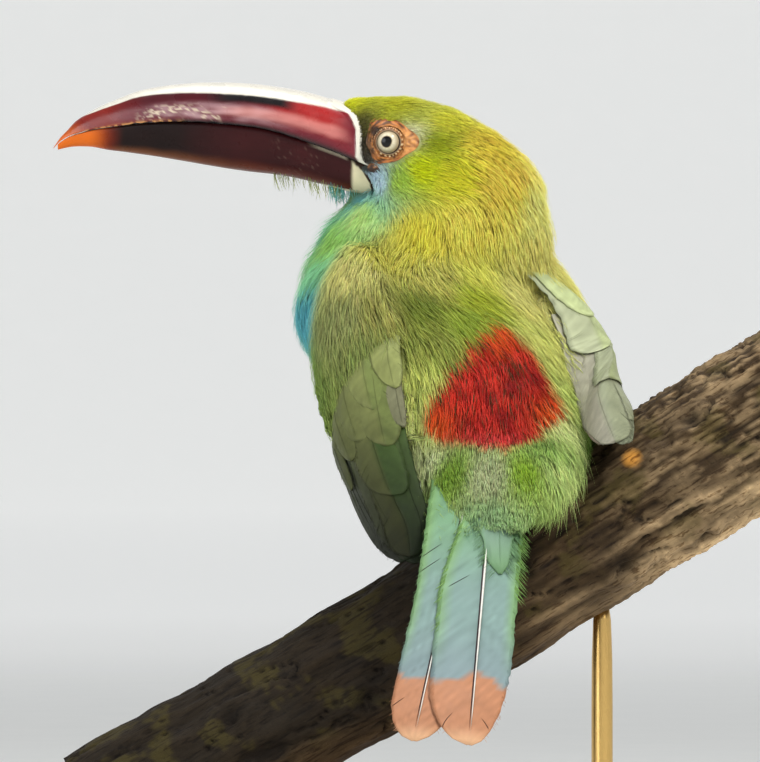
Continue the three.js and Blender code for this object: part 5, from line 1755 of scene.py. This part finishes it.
# ---- Legs and claws ----
def leg_look():
    look = Look("leg", Specular_IOR_Level=0.45, Coat_Weight=0.12, Coat_Roughness=0.4)
    scutes = look.cells(look.place((0.6, 1, 1)), 1.1, "DISTANCE_TO_EDGE")
    soft = look.noise(look.place(), 1.2, 4)
    colour = look.mix(soft, tuple(linear(112, 116, 88)), tuple(linear(146, 144, 112)))
    seam = look.span(scutes, 0.02, 0.12)
    colour = look.mix(seam, tuple(linear(62, 60, 46)), colour)
    look.set(Base_Color=colour, Roughness=look.waver(soft, 0.38, 0.6))
    look.set(Normal=look.bump(seam, 0.14, 0.8, look.bump(soft, 0.05, 0.4)))
    return look.material


SCUTE_STEP, SCUTE_RISE = 1.9, 0.14  # the rings of scales along the toes


def make_feet():
    look, claws = leg_look(), horn_look("claw", 0.3)
    for name in ("left", "right"):
        nodes = (f"foot_{name}", f"leg_{name}_tarsus")
        foot = remeshed(f"leg_{name}", *node_form(*nodes), voxel=0.46, grow=0.2, soften=4)
        points = read_points(foot.data)
        rings = SCUTE_RISE * np.sin(points @ np.array((0.3, 0.9, 0.5)) * 2 * math.pi / SCUTE_STEP)
        write_points(foot.data, points + read_normals(foot.data) * rings[:, None])
        unwrap(foot)
        finished(foot, look, nodes)
        for k in range(1, 5):
            node = f"claw_{name}_{k}"
            claw = remeshed(f"nail_{name}_{k}", *node_form(node), voxel=0.22, grow=0.08, soften=5)
            points = read_points(claw.data)
            paint(claw.data, linear(44, 38, 34) * np.exp(0.25 * cloud(points, 1.1, 4))[:, None])
            unwrap(claw)
            finished(claw, claws, (node,))


# ---- Branch ----
BRANCH_Y = 7
BRANCH_LINE = [  # x and z of the branch's middle and its radius
    (-102, 39.5, 18.8), (-64, 60.5, 19.4), (-19, 85.4, 20.2), (22, 110.8, 21.2), (64, 138, 22), (98, 158.5, 22),
]
KNOTS = [  # share along, turn from the camera's side upwards in degrees, radius, height
    (0.93, 72, 6, 1.6), (0.8, 58, 5, 1.3), (0.7, 40, 7, 1.4), (0.6, -5, 6, 1.1), (0.36, 20, 8, 1.2), (0.2, -20, 7, 1.0),
    (0.52, 150, 8, 1.2), (0.86, -30, 6, 1.2), (0.12, 100, 7, 1.3), (0.3, 200, 7, 1.2),
]


def bark_look():
    look = Look("bark", Specular_IOR_Level=0.2)
    turn = math.atan2(119.0, 200.0)
    along = look.place((0.14, 1, 1), (0, -turn, 0))
    fibres = look.noise(along, 0.9, 5)
    plates = look.noise(along, 4, 4)
    fine = look.noise(look.place(), 0.5, 4)
    colour = look.attribute("Colour")
    dark = look.mix(1.0, colour, (0.42, 0.36, 0.3), "MULTIPLY")
    colour = look.mix(look.span(fibres, 0.34, 0.5), dark, colour)
    pale = look.mix(1.0, colour, (1.5, 1.45, 1.35), "MULTIPLY")
    colour = look.mix(look.span(fine, 0.56, 0.72, 0.0, 0.5), colour, pale)
    look.set(Base_Color=colour, Roughness=look.waver(plates, 0.72, 0.94))
    look.set(Normal=look.bump(fine, 0.25, 0.6, look.bump(fibres, 0.5, 0.8)))
    return look.material


BRANCH_ROWS, BRANCH_SIDES, CUT_RINGS = 360, 132, 15


def branch_grid():
    line = np.array(BRANCH_LINE, float)
    step = np.linalg.norm(np.diff(line[:, :2], axis=0), axis=1)
    run = np.concatenate([[0], np.cumsum(step)])
    x, z, radius = (curve_through(list(zip(run, line[:, k]))) for k in range(3))
    s = np.linspace(0, run[-1], BRANCH_ROWS)
    middle = np.stack([x(s), np.full_like(s, BRANCH_Y), z(s)], -1)
    along = unit(np.gradient(middle, axis=0))
    up = unit(np.cross(along, np.array((0, 1.0, 0)))) * -1
    return s, middle, along, up, radius(s), run[-1]


def bark_height(s, turn, radius, reach):
    """How far the bark stands out, and how deep it is cracked there. turn is 0 on the camera's side, 90 on top."""
    q = np.stack([s[:, None] + 0 * turn, radius[:, None] * np.cos(turn), radius[:, None] * np.sin(turn)], -1)
    warp = q + np.stack([0 * q[..., 0], cloud(q, 9, 60), cloud(q, 9, 70)], -1) * 1.6
    fibres = 1 - 2 * np.abs(cloud(warp * (0.1, 1, 1), 2.1, 5))
    plates = cloud(warp * (0.22, 1, 1), 5.5, 14)
    lumps = cloud(q, 15, 24)
    cracks = smooth(0.07 - np.abs(cloud(warp * (0.12, 1, 1), 5.2, 34)), 0, 0.07)
    cracks *= smooth(cloud(q, 18, 44), -0.35, 0.1)
    crumbs = np.abs(cloud(q, 2.2, 54)) * smooth(q[..., 0], 0.5 * reach, 0.85 * reach)
    height = 0.38 * fibres + 0.8 * plates + 0.9 * lumps - 1.5 * cracks + 1.3 * crumbs - 0.3
    for share, degrees, size, rise in KNOTS:
        turned = (turn - math.radians(degrees) + math.pi) % (2 * math.pi) - math.pi
        away = np.hypot((s[:, None] - share * reach) * 0.7, turned * radius[:, None]) / size
        height += rise * np.exp(-((away - 0.55) ** 2) / 0.12) - 1.3 * rise * np.exp(-((away / 0.3) ** 2))
        cracks = np.maximum(cracks, np.exp(-((away / 0.32) ** 2)))
    return q, height, cracks, fibres, plates


def saw_cut(edge, middle, outward, radius, turn):
    """The rings and colours of a sawn end with its rings of growth, from the bark to the middle."""
    inward = np.sqrt(np.linspace(1, 0.0004, CUT_RINGS + 1))[1:, None, None]
    disc = middle + (edge[None] - middle) * inward
    far = np.linalg.norm(disc - middle, axis=-1)
    grown = 0.5 + 0.5 * np.sin(far * 3.3 + 2.2 * cloud(disc, 7, 2))
    spokes = np.stack([np.cos(turn) * 3 + 0 * far, np.sin(turn) * 3 + 0 * far, far / 30], -1)
    split = smooth(0.05 - np.abs(cloud(spokes, 1, 6)), 0, 0.05)
    chips = 0.35 * cloud(disc, 2.5, 4) + 0.12 * grown - 0.7 * split
    disc = disc + outward * (chips * inward[..., 0])[..., None]
    wood = lerp(linear(150, 114, 76), linear(198, 164, 120), grown[..., None])
    wood = wood * np.exp(0.2 * cloud(disc, 5, 9))[..., None]
    return disc, tinted(wood, np.maximum(split, smooth(far, radius - 2, radius - 0.6)), 60, 44, 30)


def make_branch():
    s, middle, along, up, radius, reach = branch_grid()
    turn = around(BRANCH_SIDES)[None]
    q, height, cracks, fibres, plates = bark_height(s, turn, radius, reach)
    toward = np.array((0, -1.0, 0))
    spoke = np.cos(turn)[..., None] * toward + np.sin(turn)[..., None] * up[:, None]
    shell = middle[:, None] + spoke * (radius[:, None] + height)[..., None]
    share = np.linspace(0, 1, len(s))[:, None]
    # Painted light: the top is painted pale as if lit from above and the camera's side dark as if in shade, and both
    # grow lighter towards the right-hand end as if lit from that side.
    top = smooth(np.sin(turn) + 0.35 * plates + 0 * share, 0.3, 1.0)
    right = smooth(share + 0.12 * plates, 0.5, 0.95)
    front = lerp(linear(32, 25, 16), linear(56, 42, 25), smooth(share + 0.2 * cloud(q, 20, 84), 0.3, 0.9)[..., None])
    crown = lerp(linear(76, 60, 40), linear(196, 168, 128), right[..., None])
    colour = lerp(front, crown, np.clip(top + 0.3 * right * smooth(fibres, 0.3, 0.9), 0, 1)[..., None])
    colour = colour * np.exp(0.28 * fibres + 0.3 * plates + 0.18 * cloud(q, 1.4, 94))[..., None]
    moss = smooth(cloud(q, 10, 104) + 0.3 * cloud(q, 2, 114), 0.12, 0.4) * (1 - top)
    colour = tinted(colour, 0.4 * moss, 76, 68, 28)
    away = np.linalg.norm(shell - np.array((47.5, -13, 141)), axis=-1)
    colour = tinted(colour, np.clip(1.6 - away / 2.2, 0, 0.9), 222, 156, 70)
    # Painted shade: the cracks and the knots' holes are painted near black.
    colour = tinted(colour, 0.88 * cracks, 22, 16, 11)
    first, first_wood = saw_cut(shell[0], middle[0], -along[0], radius[0], turn)
    last, last_wood = saw_cut(shell[-1], middle[-1], along[-1], radius[-1], turn)
    rings = np.concatenate([first[::-1], shell, last])
    tints = np.concatenate([first_wood[::-1], colour, last_wood]).reshape(-1, 3)
    branch = mesh_object("cut_branch", *tube(rings), tints, strip_uv(*rings.shape[:2]))
    finished(branch, bark_look(), ("branch",))


# ---- Stand ----
BASE_PROFILE = [  # radius and height round the base's edge
    (0.01, 0.0), (79.0, 0.0), (80, 0.9), (80, 3.4), (79.4, 4.2), (78.2, 4.6), (77.6, 5.2), (78.0, 6.2), (77.6, 8.0),
    (76.2, 9.8), (74.0, 11.2), (71.0, 12.0), (0.01, 12.0),
]
COLLAR_PROFILE = [
    (3.02, 12.4), (6.4, 12.4), (7, 12.9), (7, 13.8), (6.2, 14.6), (4.6, 15.0), (4.2, 15.8), (3.9, 16.4), (3.02, 16.4),
]


def turned(name, profile, centre, sides):
    """A form turned on a lathe round an upright axis. Each bend of the profile is rounded off a little."""
    line = np.array(profile, float)
    for _ in range(2):
        ahead = np.vstack([line[1:], line[-1:]])
        cut = np.stack([lerp(line, ahead, 0.2), lerp(line, ahead, 0.8)], 1).reshape(-1, 2)[:-2]
        line = np.vstack([line[:1], cut, line[-1:]])
    turn = around(sides)
    rings = np.stack(
        [line[:, :1] * np.cos(turn) + centre[0], line[:, :1] * np.sin(turn) + centre[1], line[:, 1:] + 0 * turn], -1
    )
    points, faces = tube(rings)
    return mesh_object(name, points, faces, uv=strip_uv(len(line), sides))


def stand_looks():
    wood = Look("stand_wood", Specular_IOR_Level=0.5, Coat_Weight=0.25, Coat_Roughness=0.25)
    grain = wood.noise(wood.place((0.05, 1, 1)), 2.2, 5, distortion=0.6)
    colour = wood.mix(wood.span(grain, 0.35, 0.7), tuple(linear(72, 42, 24)), tuple(linear(128, 82, 50)))
    wood.set(Base_Color=colour, Roughness=wood.waver(grain, 0.3, 0.45))
    wood.set(Normal=wood.bump(grain, 0.06, 0.4))
    brass = Look("stand_brass", Base_Color=tuple(linear(206, 170, 104)), Metallic=1.0)
    brushed = brass.noise(brass.place((1, 1, 0.04)), 0.5, 3)
    brass.set(Roughness=brass.waver(brushed, 0.24, 0.36), Normal=brass.bump(brushed, 0.02, 0.3))
    return wood.material, brass.material


def make_stand():
    wood, brass = stand_looks()
    finished(turned("stand_foot", BASE_PROFILE, (0, 0), 144), wood, ("stand_base",))
    for name in ("left", "right"):
        points, _ = node_form(f"stand_rod_{name}")
        centre = points.mean(0)[:2]
        low, high = points[:, 2].min(), points[:, 2].max()
        rod = [(0.01, low), (3, low + 0.01), (3, high - 0.01), (0.01, high)]
        finished(turned(f"stand_post_{name}", rod, centre, 48), brass, (f"stand_rod_{name}",))
        collar = turned(f"stand_ring_{name}", COLLAR_PROFILE, centre, 64)
        finished(collar, brass, (f"stand_collar_{name}",))


# ---- Building it all ----
FIELDS = [WingField("left"), WingField("right")]
COAT_LOOK = plumage_look("coat", 0.6)
VANE_LOOK = vane_look("vane")
skin = Skin(make_skin())
make_layer(skin, "under")
make_layer(skin, "over")
make_wing("left")
make_wing("right")
make_tail()
make_bill()
make_bristles()
for side in SIDES:
    make_eye(side)
    make_orbit(skin, side)
    make_gape(skin, side)
make_feet()
make_branch()
make_stand()


# ---- Camera, lights and backdrop ----
CAMERA = dict(x=-22.4, height=162.1, distance=3000, frame_height=213.36)
LIGHTS = [  # name, place, size, watts, colour
    ("key", (900, -1300, 1500), 700, 30, (1, 0.97, 0.9)),
    ("fill", (-1500, -1500, 500), 1200, 12, (0.9, 0.95, 1)),
    ("top", (-100, 300, 1700), 1000, 14, (0.97, 0.98, 1)),
]
AIM = Vector((0, 0, 150)) * MM


def aimed(obj, place, at):
    obj.location = Vector(place) * MM
    obj.rotation_euler = (at - obj.location).to_track_quat("-Z", "Y").to_euler()
    bpy.context.scene.collection.objects.link(obj)
    return obj


def make_camera():
    data = bpy.data.cameras.new("Camera")
    data.sensor_width = 36
    data.lens = data.sensor_width * CAMERA["distance"] / CAMERA["frame_height"]
    data.clip_end = 50
    place = (CAMERA["x"], -CAMERA["distance"], CAMERA["height"])
    ahead = Vector((CAMERA["x"], 0, CAMERA["height"])) * MM
    bpy.context.scene.camera = aimed(bpy.data.objects.new("Camera", data), place, ahead)


def make_lights():
    for name, place, size, watts, colour in LIGHTS:
        data = bpy.data.lights.new(name, "AREA")
        data.shape = "DISK"
        data.size = size * MM
        data.energy = watts
        data.color = colour
        aimed(bpy.data.objects.new(name, data), place, AIM)
    world = bpy.context.scene.world or bpy.data.worlds.new("World")
    bpy.context.scene.world = world
    world.use_nodes = True
    background = world.node_tree.nodes["Background"]
    background.inputs["Color"].default_value = (0.93, 0.96, 1, 1)
    background.inputs["Strength"].default_value = 0.42
    bpy.context.scene.view_settings.view_transform = "Standard"


def make_backdrop():
    """A pale round floor that sweeps up into a low wall all round; it glows softly far from the model."""
    bend, wall, height, columns = 3500.0, 14000.0, 5500.0, 96
    angles = np.radians(np.linspace(0, 90, 24))
    profile = [(reach, 0.0) for reach in (1, 700, 1300, 1900, 2600, 3400, 4400, 6000, 8000)]
    profile += [(wall - bend + bend * math.sin(a), bend - bend * math.cos(a)) for a in angles]
    reach, rise = np.array(profile + [(wall, height)])[:, :, None].transpose(1, 0, 2)
    turn = around(columns)
    points = np.stack([reach * np.cos(turn), reach * np.sin(turn), rise + 0 * turn], -1).reshape(-1, 3)
    glow = (0.34 * smooth(reach, 1000, 4400) + 0 * turn).reshape(-1, 1) * np.ones(3)
    backdrop = mesh_object("backdrop", points, grid_faces(len(reach), columns), glow)
    look = Look("backdrop", Roughness=0.9, Emission_Strength=1.0)
    speckle = look.noise(look.place(), 40, 5)
    look.set(Base_Color=look.mix(speckle, tuple(linear(226, 227, 224)), tuple(linear(232, 232, 229))))
    look.set(Emission_Color=look.attribute("Colour"))
    look.set(Normal=look.bump(look.noise(look.place(), 3, 4), 0.2, 0.2))
    backdrop.data.materials.append(look.material)


make_camera()
make_lights()
make_backdrop()
